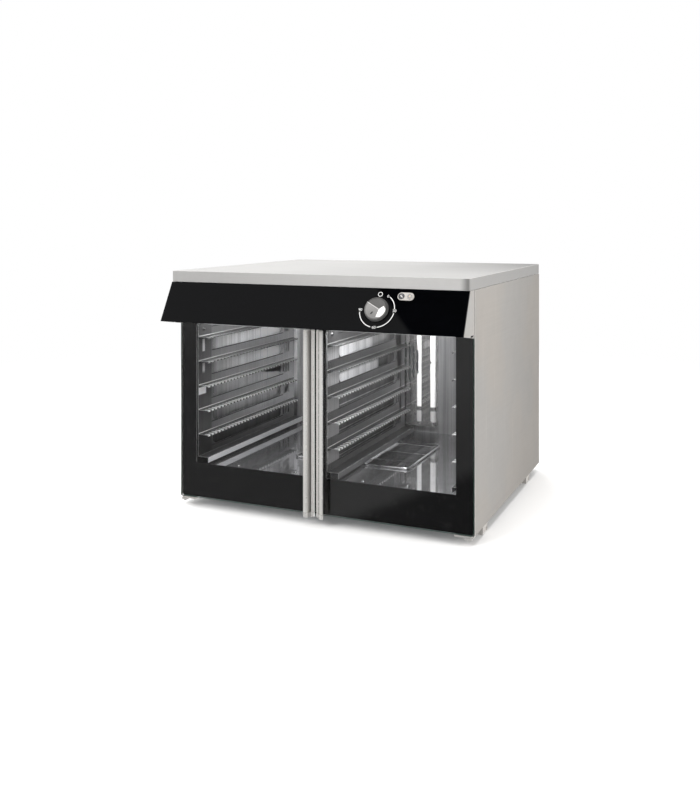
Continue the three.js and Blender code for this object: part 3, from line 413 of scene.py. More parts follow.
def spun_face(name):
    """Dished, spun knob face: its highlights are painted, a bright wedge and a thin bright line, with painted shade on
    the upper part and rim; they stay put in the room while the knob turns.
    """
    g = Graph(name)
    p = g.xyz(g.obj)
    rad = g.math("SQRT", g.math("ADD", g.math("MULTIPLY", p["X"], p["X"]), g.math("MULTIPLY", p["Y"], p["Y"])))
    rings = g.node("ShaderNodeTexNoise", {"Vector": g.node("ShaderNodeCombineXYZ", {"X": g.math("MULTIPLY", rad, 4200.0)}),
                                          "Scale": 1.0, "Detail": 3.0, "Roughness": 0.6}).outputs[0]
    wear = g.noise(160.0, 4.0, 0.65)
    q = g.xyz(g.vmath("SUBTRACT", g.node("ShaderNodeNewGeometry").outputs["Position"], tuple(knob_at)))
    x = g.math("MULTIPLY", q["X"], 1000.0)
    y = g.math("MULTIPLY", g.math("ADD", g.math("MULTIPLY", q["Y"], 0.466), g.math("MULTIPLY", q["Z"], 0.8848)), 1000.0)
    ax, ay = g.math("SUBTRACT", x, 9.8), g.math("ADD", y, 1.4)
    th = g.math("MULTIPLY", g.math("ARCTAN2", ay, ax), 180.0 / math.pi)
    up = window(g, th, -14.0, 152.3, 2.0)                             # painted shade on the upper part
    # painted highlight: a bright wedge opening to the lower right
    white = g.math("MULTIPLY", window(g, th, -103.0, 37.5, 2.0),
                   g.remap(g.math("ADD", g.math("MULTIPLY", x, 0.777), g.math("MULTIPLY", y, 0.628)), 21.8, 22.9, 1.0, 0.0))
    white = g.math("MULTIPLY", white, g.remap(rad, 0.0285, 0.0300, 1.0, 0.0))
    white = g.math("MULTIPLY", white, g.remap(y, -25.5, -23.5, 0.0, 1.0))
    # painted highlight: a thin bright line from the rim towards the centre
    side = g.math("ADD", g.math("MULTIPLY", ax, 0.4649), g.math("MULTIPLY", ay, 0.8854))   # distance from the bright line
    line = g.math("MULTIPLY", window(g, side, -0.5, 0.5, 0.3), g.remap(x, 8.0, 10.0, 1.0, 0.0))
    line = g.math("MULTIPLY", line, g.remap(rad, 0.0315, 0.0325, 1.0, 0.0))
    # painted shade: upper part, rim and lower side of the face darker
    v = g.remap(up, 0.0, 1.0, 0.235, 0.10)
    v = g.math("MULTIPLY", v, g.remap(rad, 0.0287, 0.0292, 1.0, 0.55))
    v = g.math("MULTIPLY", v, g.remap(y, -30.0, 10.0, 0.80, 1.12))
    v = g.math("ADD", v, g.math("MULTIPLY", g.math("MAXIMUM", white, line), g.math("SUBTRACT", 0.92, v)))
    v = g.math("MULTIPLY", v, g.remap(rings, 0.25, 0.75, 0.93, 1.05))
    v = g.math("ADD", v, g.math("MULTIPLY", g.math("SUBTRACT", wear, 0.5), 0.05))
    r = g.math("ADD", 0.30, g.math("MULTIPLY", g.math("SUBTRACT", rings, 0.5), 0.12))
    tan = g.node("ShaderNodeTangent", direction_type="RADIAL", axis="Z")
    return g.done(g.principled(Base_Color=g.shade((1.0, 0.985, 0.965), v), Metallic=0.12, Roughness=r, Anisotropic=0.85, Tangent=tan,
                               Specular_IOR_Level=0.3, Normal=g.bump(rings, 0.00003, 0.5)))


def printed(name, base):
    """Screen-printed ink: flat, slightly grainy, thin at places."""
    g = Graph(name)
    grain = g.noise(2600.0, 3.0, 0.6)
    slow = g.noise(220.0, 3.0, 0.6)
    v = g.math("ADD", g.remap(grain, 0.3, 0.7, 0.93, 1.04), g.math("MULTIPLY", g.math("SUBTRACT", slow, 0.5), 0.06))
    return g.done(g.principled(Base_Color=g.shade(base, v), Roughness=0.55, Specular_IOR_Level=0.3,
                               Normal=g.bump(grain, 0.00002, 0.5)))


def lens(name, base, inner, rough=0.06, core=0.0042, rim_at=0.0056, glint=0.0):
    """Lamp lens: clear moulding over a faceted reflector, with a darker rim and a warm middle."""
    g = Graph(name)
    p = g.xyz(g.obj)
    rad = g.math("SQRT", g.math("ADD", g.math("MULTIPLY", p["X"], p["X"]), g.math("MULTIPLY", p["Y"], p["Y"])))
    ang = g.math("ARCTAN2", p["Y"], p["X"])
    flute = g.math("SINE", g.math("MULTIPLY", ang, 18.0))
    core = g.remap(rad, core * 0.25, core, 1.0, 0.0, "SMOOTHSTEP")
    rim = g.remap(rad, rim_at, rim_at + 0.0016, 0.0, 1.0, "SMOOTHSTEP")
    c = g.mix(core, base, inner)
    c = g.mix(g.math("MULTIPLY", rim, 0.6), c, tuple(x * 0.25 for x in base))
    c = g.shade(c, g.math("ADD", 1.0, g.math("MULTIPLY", flute, 0.12)))
    if glint:                                    # painted glint: a window of light painted across the dome
        d = g.math("ADD", g.math("MULTIPLY", p["X"], 0.707), g.math("MULTIPLY", p["Y"], 0.707))
        e = g.math("SUBTRACT", g.math("MULTIPLY", p["X"], 0.707), g.math("MULTIPLY", p["Y"], 0.707))
        w = g.math("MULTIPLY", window(g, d, -0.0011, 0.0009, 0.0003), window(g, e, -0.0030, 0.0058, 0.0008))
        c = g.mix(g.math("MULTIPLY", w, glint), c, (0.80, 0.78, 0.76))
    return g.done(g.principled(Base_Color=c, Roughness=rough, Specular_IOR_Level=0.6, Coat_Weight=1.0, Coat_Roughness=0.03,
                               Normal=g.bump(flute, 0.0002, 0.35)))


def facing(g):
    n = g.xyz(g.node("ShaderNodeNewGeometry").outputs["True Normal"])
    return [g.math("ABSOLUTE", n[k]) for k in "XYZ"]


def rack_tone(g):
    """Painted light and shade on the rack sheets: ledge tops painted dark for the dark they reflect, a mid grey web
    painted lighter to the rear, painted highlights on the bends and the lowest flange, painted shadow in the slots and
    under the ledges.
    """
    nx, ny, nz = facing(g)
    p = g.xyz(g.obj)
    y = g.math("SUBTRACT", p["Y"], FACE_Y)
    up = g.remap(nz, 0.5, 0.8, 0.0, 1.0)
    side = g.remap(nx, 0.5, 0.8, 0.0, 1.0)
    k = g.math("DIVIDE", g.math("SUBTRACT", p["Z"], 0.5129 - 5 * 0.0756), 0.0756)
    t = g.math("MULTIPLY", g.math("FRACT", k), 75.6)                  # mm above the ledge below
    # web painted lighter to the rear and darker higher up: painted light and shade; the streaks are the sheet's own
    web = g.remap(y, 0.04, 0.64, 0.085, 0.34)
    web = g.math("MULTIPLY", web, g.remap(p["Z"], 0.20, 0.52, 1.25, 0.70))
    streak = g.noise((170.0, 170.0, 2.0), 3.0, 0.65, loc=(1.1, 4.4, 0))
    web = g.math("MULTIPLY", web, g.remap(streak, 0.3, 0.7, 0.86, 1.14))
    x = g.math("ABSOLUTE", p["X"])
    outer = g.remap(x, 0.30, 0.31, 0.0, 1.0)
    # outer racks: painted lighter towards the rear and painted shade near the bottom
    web = g.math("MULTIPLY", web, g.math("ADD", 1.0, g.math("MULTIPLY", outer, g.remap(y, 0.12, 0.55, 0.45, 1.5))))
    web = g.math("MULTIPLY", web, g.math("SUBTRACT", 1.0, g.math("MULTIPLY", g.math("MULTIPLY", outer, 0.7), g.remap(p["Z"], 0.215, 0.200, 0.0, 1.0))))
    # painted shade on a strip at the front of the outer racks
    strip = g.math("MULTIPLY", outer, g.remap(y, 0.110, 0.118, 1.0, 0.0))
    web = g.math("MULTIPLY", web, g.math("SUBTRACT", 1.0, g.math("MULTIPLY", strip, 0.45)))
    # painted highlights on the outer racks between the ledges and on one band lower down
    shine = g.math("MULTIPLY", window(g, y, 0.062, 0.075, 0.002), g.remap(p["Z"], 0.395, 0.405, 0.0, 1.0))
    gap = g.math("MULTIPLY", window(g, t, 27.5, 66.0, 0.6), g.remap(p["Z"], 0.512, 0.514, 1.0, 0.0))
    shine = g.math("MULTIPLY", shine, gap)
    shine = g.math("MAXIMUM", shine, g.math("MULTIPLY", window(g, p["Z"], 0.332, 0.354, 0.002), g.remap(y, 0.080, 0.084, 2.6, 0.0)))
    web = g.math("ADD", web, g.math("MULTIPLY", g.math("MULTIPLY", outer, shine), 0.45))
    # front posts of the middle racks painted bright between the ledges: a painted highlight
    post = g.math("MULTIPLY", g.math("SUBTRACT", 1.0, outer), g.math("MULTIPLY", gap, g.remap(y, 0.119, 0.123, 1.0, 0.0)))
    post = g.math("MULTIPLY", post, g.remap(g.noise((260.0, 260.0, 2.0), 2.0, 0.6, loc=(3.3, 1.4, 0)), 0.35, 0.65, 0.25, 0.50))
    web = g.math("ADD", web, g.math("MULTIPLY", post, g.remap(p["Z"], 0.36, 0.40, 0.8, 1.3)))
    # painted highlight along the bends, weaker higher up
    bend = g.math("MULTIPLY", g.remap(t, 2.6, 3.2, 1.0, 0.0), side)
    bend = g.math("MULTIPLY", bend, g.remap(p["Z"], 0.30, 0.45, 1.0, 0.35))
    # painted shadow in the slots
    slot = g.math("MULTIPLY", window(g, t, 23.6, 26.6, 0.3), window(g, y, 0.115, 0.60, 0.004))
    # painted shade under each ledge
    under = g.math("MULTIPLY", g.remap(t, 66.0, 72.0, 0.0, 1.0), side)
    # ledge tops painted dark, standing in for the dark they reflect
    top = g.math("MULTIPLY", g.remap(y, 0.04, 0.60, 0.035, 0.075), g.remap(p["Z"], 0.40, 0.50, 1.0, 0.5))
    v = g.math("ADD", web, g.math("MULTIPLY", bend, g.math("SUBTRACT", 1.0, web)))
    v = g.math("MULTIPLY", v, g.remap(g.math("MULTIPLY", slot, side), 0.0, 1.0, 1.0, 0.12))
    v = g.math("MULTIPLY", v, g.remap(under, 0.0, 1.0, 1.0, 0.55))
    v = g.math("ADD", v, g.math("MULTIPLY", up, g.math("SUBTRACT", top, v)))
    # turned-down lip behind the grip ribs, painted dark: painted shade
    lip = g.math("ADD", window(g, x, 0.0493, 0.060, 0.0002), window(g, x, 0.380, 0.3927, 0.0002))
    v = g.math("ADD", v, g.math("MULTIPLY", g.math("MULTIPLY", lip, side), g.math("SUBTRACT", 0.05, v)))
    # lowest flange painted bright on the outer racks: a painted highlight
    low = g.remap(p["Z"], 0.1420, 0.1426, 1.0, 0.0)
    flange = g.math("ADD", 0.07, g.math("MULTIPLY", side, g.math("ADD", 0.10, g.math("MULTIPLY", outer, 0.85))))
    v = g.math("ADD", v, g.math("MULTIPLY", low, g.math("SUBTRACT", flange, v)))
    # front faces painted a set tone, darker higher up: painted light and shade
    front = g.remap(g.math("MULTIPLY", ny, g.remap(y, 0.060, 0.050, 0.0, 1.0)), 0.5, 0.8, 0.0, 1.0)
    return g.math("ADD", v, g.math("MULTIPLY", front, g.math("SUBTRACT", g.remap(p["Z"], 0.30, 0.42, 0.5, 0.18), v)))


def rib_tone(g):
    """Grip ribs painted darker on the upper ledges: painted shade, as they catch less light there."""
    return g.remap(g.xyz(g.obj)["Z"], 0.30, 0.46, 1.0, 0.16)


def divider_tone(g):
    """Sheet between the middle racks: painted bright behind the upper slots, painted darker below as painted shade,
    streaked from top to bottom.
    """
    p = g.xyz(g.obj)
    y = g.math("SUBTRACT", p["Y"], FACE_Y)
    k = g.math("DIVIDE", g.math("SUBTRACT", p["Z"], 0.5129 - 5 * 0.0756), 0.0756)
    t = g.math("MULTIPLY", g.math("FRACT", k), 75.6)
    first = g.remap(k, 3.98, 4.02, 0.0, 1.0)
    second = g.math("MULTIPLY", g.remap(k, 2.98, 3.02, 0.0, 1.0), g.math("SUBTRACT", 1.0, first))
    rest = g.math("SUBTRACT", 1.0, g.math("ADD", first, second))
    a = g.math("MULTIPLY", first, g.remap(y, 0.41, 0.43, 1.0, 0.5))
    b = g.math("ADD", g.remap(y, 0.46, 0.48, 1.0, 0.07), g.remap(y, 0.555, 0.565, 0.0, 0.23))
    b = g.math("MULTIPLY", g.math("MULTIPLY", second, b), g.remap(t, 44.0, 52.0, 1.0, 0.35))
    c = g.math("ADD", 0.17, g.math("MULTIPLY", window(g, t, 26.0, 29.0, 0.6), 0.55))
    v = g.math("MULTIPLY", g.math("ADD", g.math("ADD", a, b), g.math("MULTIPLY", rest, c)), 0.9)
    fine = g.noise((230.0, 230.0, 2.0), 3.0, 0.65, loc=(1.1, 4.4, 0))
    wide = g.noise((30.0, 30.0, 1.2), 2.0, 0.5, loc=(7.1, 2.4, 0))
    return g.math("MULTIPLY", v, g.math("ADD", g.remap(fine, 0.3, 0.7, 0.8, 1.2), g.remap(wide, 0.3, 0.7, -0.2, 0.2)))


def wall_tone(g):
    """Chamber walls: streaky, with painted light and shade: the side walls painted bright above and towards the rear,
    darker towards the floor, the very top and the front; other walls a flat painted tone, the back wall a little
    lighter.
    """
    nx, ny, nz = facing(g)
    p = g.xyz(g.obj)
    a = g.noise((150.0, 150.0, 1.6), 3.0, 0.65, loc=(1.1, 4.4, 0))
    b = g.noise((24.0, 24.0, 1.0), 2.0, 0.5, loc=(7.1, 2.4, 0))
    v = g.math("ADD", g.remap(a, 0.3, 0.7, 0.78, 1.22), g.remap(b, 0.3, 0.7, -0.25, 0.25))
    side = g.remap(nx, 0.5, 0.8, 0.0, 1.0)
    h = g.remap(p["Z"], 0.17, 0.29, 0.12, 1.45, "SMOOTHSTEP")
    h = g.math("MULTIPLY", h, g.remap(p["Z"], 0.500, 0.520, 1.0, 0.40))
    h = g.math("MULTIPLY", h, g.remap(g.math("SUBTRACT", p["Y"], FACE_Y), 0.10, 0.55, 0.25, 1.6))
    flat = g.math("ADD", 0.50, g.math("MULTIPLY", g.remap(ny, 0.5, 0.8, 0.0, 1.0), 0.14))
    h = g.math("ADD", flat, g.math("MULTIPLY", side, g.math("SUBTRACT", h, flat)))
    return g.math("MULTIPLY", v, h)


def duct_highlight_bands(g):
    # bright bands painted on the duct front: painted highlights
    x = g.math("ABSOLUTE", g.xyz(g.obj)["X"])
    v = g.math("ADD", window(g, x, 0.058, 0.075, 0.0015), window(g, x, 0.108, 0.126, 0.0015))
    z = g.xyz(g.obj)["Z"]
    return g.math("MULTIPLY", v, g.math("MAXIMUM", g.remap(z, 0.211, 0.216, 0.0, 1.0), g.math("MULTIPLY", window(g, z, 0.160, 0.200, 0.003), 0.5)))


def duct_tone(g):
    """Painted highlight bands down the front of the air duct and along its corners, standing in for the light its folds
    catch.
    """
    fine = g.noise((420.0, 420.0, 3.0), 2.0, 0.6, loc=(2.2, 0, 0))
    v = g.math("ADD", 0.62, g.math("MULTIPLY", duct_highlight_bands(g), 0.70))
    return g.math("ADD", v, g.math("MULTIPLY", g.math("SUBTRACT", fine, 0.5), 0.8))


def streaks(amount, lo=0.6, hi=1.25):
    """Vertical streaks of a rolled, wiped sheet."""
    def fn(g):
        a = g.noise((170.0, 170.0, 2.0), 3.0, 0.65, loc=(1.1, 4.4, 0))
        b = g.noise((26.0, 26.0, 1.2), 2.0, 0.5, loc=(7.1, 2.4, 0))
        v = g.math("ADD", g.remap(a, 0.3, 0.7, 1 - amount, 1 + amount), g.remap(b, 0.3, 0.7, lo - 1, hi - 1))
        return v
    return fn


def top_steel(name):
    """Top panel: brushed along its width, with painted light and shade: the folded edge painted darker than the flat
    top, and painted shade towards its corners and rear.
    """
    g = Graph(name)
    n = g.xyz(g.node("ShaderNodeNewGeometry").outputs["True Normal"])
    p = g.xyz(g.obj)
    lines = g.noise((5.0, 700.0, 700.0), 2.0, 0.65)
    cloud = g.noise((3.0, 5.0, 5.0), 4.0, 0.6, loc=(2.0, 1.0, 0.0), distortion=0.8)
    fine = g.noise(60.0, 5.0, 0.7, loc=(1, 2, 3))
    flat = g.remap(p["X"], -0.30, 0.20, 0.60, 0.51, "SMOOTHSTEP")
    far = g.math("MULTIPLY", g.remap(p["X"], 0.10, 0.46, 0.0, 1.0), g.remap(p["Y"], -0.25, 0.40, 0.0, 1.0))
    flat = g.math("MULTIPLY", flat, g.remap(far, 0.0, 1.0, 1.0, 0.40))
    flat = g.math("MULTIPLY", flat, g.remap(p["Y"], -0.35, 0.45, 1.0, 0.93))
    front = g.remap(p["X"], -0.42, 0.30, 0.455, 0.585, "SMOOTHSTEP")
    front = g.math("MULTIPLY", front, g.remap(p["X"], 0.438, 0.464, 1.0, 0.40, "SMOOTHSTEP"))
    side = g.remap(p["Y"], -0.40, 0.45, 0.42, 0.34)
    up = g.remap(n["Z"], 0.5, 0.9, 0.0, 1.0)
    ax = g.remap(g.math("ABSOLUTE", n["X"]), 0.5, 0.9, 0.0, 1.0)
    v = g.math("ADD", front, g.math("MULTIPLY", ax, g.math("SUBTRACT", side, front)))
    v = g.math("ADD", v, g.math("MULTIPLY", up, g.math("SUBTRACT", flat, v)))
    v = g.math("MULTIPLY", v, g.remap(cloud, 0.3, 0.7, 0.955, 1.045))
    v = g.math("MULTIPLY", v, g.remap(lines, 0.3, 0.7, 0.97, 1.03))
    v = g.math("MULTIPLY", v, g.remap(fine, 0.3, 0.7, 0.98, 1.02))
    colour = g.shade((1.01, 1.0, 0.985), v)
    r = g.math("ADD", g.remap(lines, 0.3, 0.7, 0.32, 0.42), g.remap(cloud, 0.5, 0.75, 0.0, 0.06))
    tan = g.node("ShaderNodeVectorTransform", {"Vector": (1, 0, 0)}, vector_type="VECTOR", convert_from="OBJECT", convert_to="WORLD")
    return g.done(g.principled(Base_Color=colour, Metallic=0.5, Roughness=r, Anisotropic=0.4, Tangent=tan,
                               Normal=g.bump(lines, 0.00002, 0.6)))


STEEL = (0.66, 0.645, 0.62)
M = {
    # side panel: painted shade darkens it towards the rear
    "side": brushed("steel_side_panel", (0.485, 0.472, 0.455), 0.42, 0.55, "y", painted_shade_ramp=("y", -0.30, 0.45, 0.78)),
    "top": top_steel("steel_top"),
    "house": brushed("steel_housing", (0.49, 0.482, 0.47), 0.40, 0.55, "z"),
    "back": brushed("steel_back_panel", (0.62, 0.61, 0.60), 0.42, 0.6, "x"),
    "small": brushed("steel_brackets", (0.70, 0.69, 0.675), 0.33, 0.7, "x", fine=1100.0),
    "feet": brushed("steel_feet", (0.70, 0.69, 0.675), 0.40, 0.6, "z", fine=900.0),
    "edge": worn_highlit_edge("steel_edge", (0.80, 0.79, 0.775), 0.28, 0.6),
    "inner": bright_sheet("chamber_sheet", (0.90, 0.90, 0.91), 0.14, ripple=0.00004, haze=0.05, metal=0.35, paint=wall_tone),
    "floor_in": bright_sheet("chamber_floor_sheet", (0.60, 0.60, 0.61), 0.04, ripple=0.00006, haze=0.04, metal=0.85, paint=streaks(0.10, 0.9, 1.1)),
    "rack": bright_sheet("rack_sheet", (0.97, 0.97, 0.985), 0.30, ripple=0.00003, haze=0.05, metal=0.25, paint=rack_tone),
    "duct": bright_sheet("duct_sheet", (0.80, 0.79, 0.785), 0.05, ripple=0.00003, haze=0.03, metal=0.80, paint=duct_tone, plain=duct_highlight_bands),
    "rib": worn_highlit_edge("ledge_rib", (0.90, 0.90, 0.90), 0.35, 0.1, paint=rib_tone),
    "divider": bright_sheet("divider_sheet", (0.97, 0.97, 0.985), 0.28, ripple=0.00003, haze=0.05, metal=0.2, paint=divider_tone),
    "edge_in": worn_highlit_edge("chamber_edge", (0.90, 0.90, 0.90), 0.22, 0.6),
    "frame_in": bright_sheet("front_frame_sheet", (0.60, 0.605, 0.61), 0.32, metal=0.6, haze=0.03, tone=0.03),
    "galv": spangled("galvanised_sheet", (0.52, 0.54, 0.55)),
    "chrome": plated("chrome_wire", (0.86, 0.86, 0.87), 0.05),
    "bezel": brushed("bezel_satin", (0.52, 0.51, 0.495), 0.32, 0.2, "x", fine=900.0),
    "alu": extruded_aluminium("satin_aluminium", (0.88, 0.865, 0.84)),
    "alu_edge": worn_highlit_edge("aluminium_edge", (0.90, 0.89, 0.87), 0.2, 0.75),
    "knob": spun_face("knob_spun_face"),
    "knob_side": turned("knob_turned_side", (0.20, 0.20, 0.20), 0.30, 0.6),
    "fascia": gloss_black("fascia_black_glass", (0.0007, 0.0008, 0.0012), 0.012, 0.40),
    "glass": clear_glass("door_clear_glass"),
    "border": moulded("door_border_black", (0.0022, 0.0022, 0.0026), 0.45, 0.00003, 700.0, 0.05),
    # edge of the black door border painted a little lighter than its face: partly wear, partly a painted edge highlight
    "border_edge": moulded("door_border_edge", (0.006, 0.006, 0.007), 0.4, 0.00003, 700.0, 0.15),
    "seal": silicone("seal_silicone", (0.035, 0.035, 0.037)),
    "cable": silicone("cable_sheath", (0.02, 0.02, 0.021), 0.5),
    "heater_mat": silicone("heater_mat_silicone", (0.36, 0.13, 0.07), 0.65, "x"),
    "heater": moulded("heater_oxidised", (0.16, 0.12, 0.10), 0.42, 0.00008, 500.0, 0.5, 0.2, metal=0.8),
    "copper": plated("bulb_copper", (0.78, 0.42, 0.27), 0.22),
    "wool": wool("mineral_wool", (0.56, 0.45, 0.24)),
    "plastic": moulded("dark_plastic", (0.022, 0.022, 0.024), 0.5),
    "motor": moulded("motor_enamel", (0.045, 0.047, 0.05), 0.38, 0.0001, 300.0),
    "ceramic": moulded("ceramic_cream", (0.66, 0.62, 0.52), 0.45, 0.00008, 600.0),
    "print": printed("dial_ink_white", (0.80, 0.80, 0.79)),
    "pointer": moulded("pointer_black", (0.01, 0.01, 0.01), 0.5),
    "lamp_dark": lens("lamp_smoked", (0.05, 0.052, 0.058), (0.16, 0.15, 0.15), core=0.0060, rim_at=0.0072, glint=0.85),
    "lamp_light": lens("lamp_clear", (0.34, 0.33, 0.33), (0.62, 0.46, 0.30), core=0.0030, rim_at=0.0046),
    "screw": plated("screw_zinc", (0.66, 0.66, 0.66), 0.22),
    "nut": plated("dome_nut_steel", (0.09, 0.09, 0.09), 0.30),
    "core_brown": moulded("core_brown", (0.13, 0.06, 0.03), 0.5),
    "core_blue": moulded("core_blue", (0.03, 0.10, 0.30), 0.5),
    "core_green": moulded("core_green_yellow", (0.22, 0.36, 0.05), 0.5),
}

# ---------------------------------------------------------------- CAD nodes: finish and softened edges
FINISH = {
    # node: (face material, edge material, edge radius in mm)
    "top_panel": ("top", "edge", 0.7), "side_panel": ("side", "edge", 0.35), "back_panel": ("back", "edge", 0.3),
    "base_pan": ("galv", "galv", 0.3), "front_frame": ("frame_in", "edge_in", 0.3),
    "chamber_liner": ("inner", "edge_in", 0.3), "chamber_floor": ("floor_in", "edge_in", 0.45),
    "rack": ("rack", "edge_in", 0.28), "rack_divider": ("divider", "edge_in", 0.0), "rear_duct": ("duct", "edge_in", 0.4),
    "fan_wheel": ("galv", "galv", 0.25), "fan_motor": ("motor", "motor", 0.8), "heater_ring": ("heater", "heater", 0.0),
    "basin_heater": ("heater_mat", "heater_mat", 0.4), "thermostat_bulb": ("copper", "copper", 0.0),
    "insulation": ("wool", "wool", 1.2), "control_housing": ("house", "edge", 0.35), "fascia_glass": ("fascia", "fascia", 0.5),
    "thermostat_shaft": ("bezel", "bezel", 0.2), "thermostat_body": ("ceramic", "ceramic", 0.6),
    "door_glass": ("glass", None, 0.0), "door_frame": ("border", "border_edge", 0.5), "door_gasket": ("seal", "seal", 1.4),
    "door_handle": ("alu", "alu_edge", 0.3), "handle_cap": ("alu", "alu_edge", 0.4), "door_pivot": ("small", "edge", 0.4),
    "hinge_bracket": ("small", "edge", 0.45), "magnet_catch": ("plastic", "plastic", 0.5),
    "terminal_block": ("ceramic", "ceramic", 0.4), "cable_gland": ("plastic", "plastic", 0.35),
    "foot": ("feet", "edge", 0.5), "basin_guard": ("chrome", "chrome", 0.0), "control_knob": ("knob", "knob", 0.0),
    "lamp_bezel": ("bezel", "bezel", 0.3), "lamp_power": ("lamp_dark", "lamp_dark", 0.0),
    "lamp_heating": ("lamp_light", "lamp_light", 0.0), "power_cable": ("cable", "cable", 0.0),
}


def finish_node(name, o):
    key = max((k for k in FINISH if name.startswith(k)), key=len)
    face, edge, width = FINISH[key]
    me = o.data
    me.materials.clear()
    me.materials.append(M[face])
    me.materials.append(M[edge or face])
    if "custom_normal" in me.attributes:
        me.attributes.remove(me.attributes["custom_normal"])
    for p in me.polygons:
        p.material_index = 0
        p.use_smooth = True
    w = o.modifiers.new("join", "WELD")
    w.merge_threshold = 2e-6
    d = o.modifiers.new("flat", "DECIMATE")
    d.decimate_type = "DISSOLVE"
    d.angle_limit = math.radians(0.4)
    if width:
        b = o.modifiers.new("edges", "BEVEL")
        b.width = width / 1000
        b.segments = 2
        b.limit_method = "ANGLE"
        b.angle_limit = math.radians(32)
        b.use_clamp_overlap = True
        b.material = 1
        b.miter_outer = "MITER_ARC"
    n = o.modifiers.new("normals", "WEIGHTED_NORMAL")
    n.mode = "FACE_AREA"
    n.weight = 80
    n.keep_sharp = False
    return o


for name, o in NODES.items():
    finish_node(name, o)

# ---------------------------------------------------------------- mesh helpers


def obj_from(name, bm, mats, matrix=None, smooth=True, body="cabinet"):
    bmesh.ops.recalc_face_normals(bm, faces=bm.faces)
    me = bpy.data.meshes.new(name)
    bm.to_mesh(me)
    bm.free()
    for m in mats if isinstance(mats, (list, tuple)) else [mats]:
        me.materials.append(M[m])
    for p in me.polygons:
        p.use_smooth = smooth
    o = bpy.data.objects.new(name, me)
    scene.collection.objects.link(o)
    if matrix is not None:
        o.matrix_world = matrix
    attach(o, body)
    return o


def soften(o, width, angle=32, segments=2, material=-1):
    b = o.modifiers.new("edges", "BEVEL")
    b.width = width
    b.segments = segments
    b.limit_method = "ANGLE"
    b.angle_limit = math.radians(angle)
    b.material = material
    n = o.modifiers.new("normals", "WEIGHTED_NORMAL")
    n.mode = "FACE_AREA"
    n.weight = 80
    return o


def lathe(bm, profile, seg, matrix=None, mat=0, mats=None):
    """Closed body of revolution about local z. profile: (radius, height) from the axis to the axis."""
    matrix = matrix or Matrix.Identity(4)
    loops = []
    for r, z in profile:
        if r < 1e-9:
            loops.append([bm.verts.new(matrix @ Vector((0, 0, z)))])
        else:
            loops.append([bm.verts.new(matrix @ Vector((r * math.cos(TAU * i / seg), r * math.sin(TAU * i / seg), z)))
                          for i in range(seg)])
    for k, (a, b) in enumerate(zip(loops, loops[1:])):
        for i in range(seg):
            j = (i + 1) % seg
            if len(a) == 1 and len(b) == 1:
                continue
            if len(a) == 1:
                f = bm.faces.new((a[0], b[i], b[j]))
            elif len(b) == 1:
                f = bm.faces.new((a[i], b[0], a[j]))
            else:
                f = bm.faces.new((a[i], b[i], b[j], a[j]))
            f.material_index = mats[k] if mats else mat
    return bm


def tube(bm, pts, r, sides=16, closed=False, mat=0, radii=None):
    """Round tube along points, closed with end caps unless it is a loop."""
    pts = [Vector(p) for p in pts]
    n = len(pts)
    tang = []
    for i in range(n):
        a = pts[(i - 1) % n] if closed or i else pts[i]
        b = pts[(i + 1) % n] if closed or i < n - 1 else pts[i]
        tang.append((b - a).normalized())
    ref = Vector((0, 0, 1)) if abs(tang[0].z) < 0.9 else Vector((1, 0, 0))
    u = (ref - tang[0] * ref.dot(tang[0])).normalized()
    rings = []
    for i in range(n):
        u = (u - tang[i] * u.dot(tang[i])).normalized()
        w = tang[i].cross(u)
        rr = radii[i] if radii else r
        rings.append([bm.verts.new(pts[i] + rr * (math.cos(TAU * k / sides) * u + math.sin(TAU * k / sides) * w))
                      for k in range(sides)])
    for i in range(n if closed else n - 1):
        a, b = rings[i], rings[(i + 1) % n]
        for k in range(sides):
            f = bm.faces.new((a[k], a[(k + 1) % sides], b[(k + 1) % sides], b[k]))
            f.material_index = mat
    if not closed:
        for ring, at in ((rings[0], pts[0]), (rings[-1], pts[-1])):
            c = bm.verts.new(at)
            for k in range(sides):
                f = bm.faces.new((ring[k], ring[(k + 1) % sides], c))
                f.material_index = mat
    return bm


def round_rect(x0, x1, y0, y1, r, seg=8):
    rr = list(r) if hasattr(r, "__len__") else [r] * 4
    out = []
    for (cx, cy, t0), q in zip(((x0 + rr[0], y0 + rr[0], math.pi), (x1 - rr[1], y0 + rr[1], 1.5 * math.pi),
                                (x1 - rr[2], y1 - rr[2], 0.0), (x0 + rr[3], y1 - rr[3], 0.5 * math.pi)), rr):
        for i in range(seg + 1):
            t = t0 + (i / seg) * math.pi / 2
            out.append((cx + q * math.cos(t), cy + q * math.sin(t)))
    return out


def plate(bm, outline, z0, z1, mat=0, matrix=None):
    """Closed slab from a 2-D outline."""
    matrix = matrix or Matrix.Identity(4)
    lo = [bm.verts.new(matrix @ Vector((a, b, z0))) for a, b in outline]
    hi = [bm.verts.new(matrix @ Vector((a, b, z1))) for a, b in outline]
    n = len(outline)
    fs = [bm.faces.new(list(reversed(lo))), bm.faces.new(hi)]
    for i in range(n):
        fs.append(bm.faces.new((lo[i], lo[(i + 1) % n], hi[(i + 1) % n], hi[i])))
    for f in fs:
        f.material_index = mat
    return bm


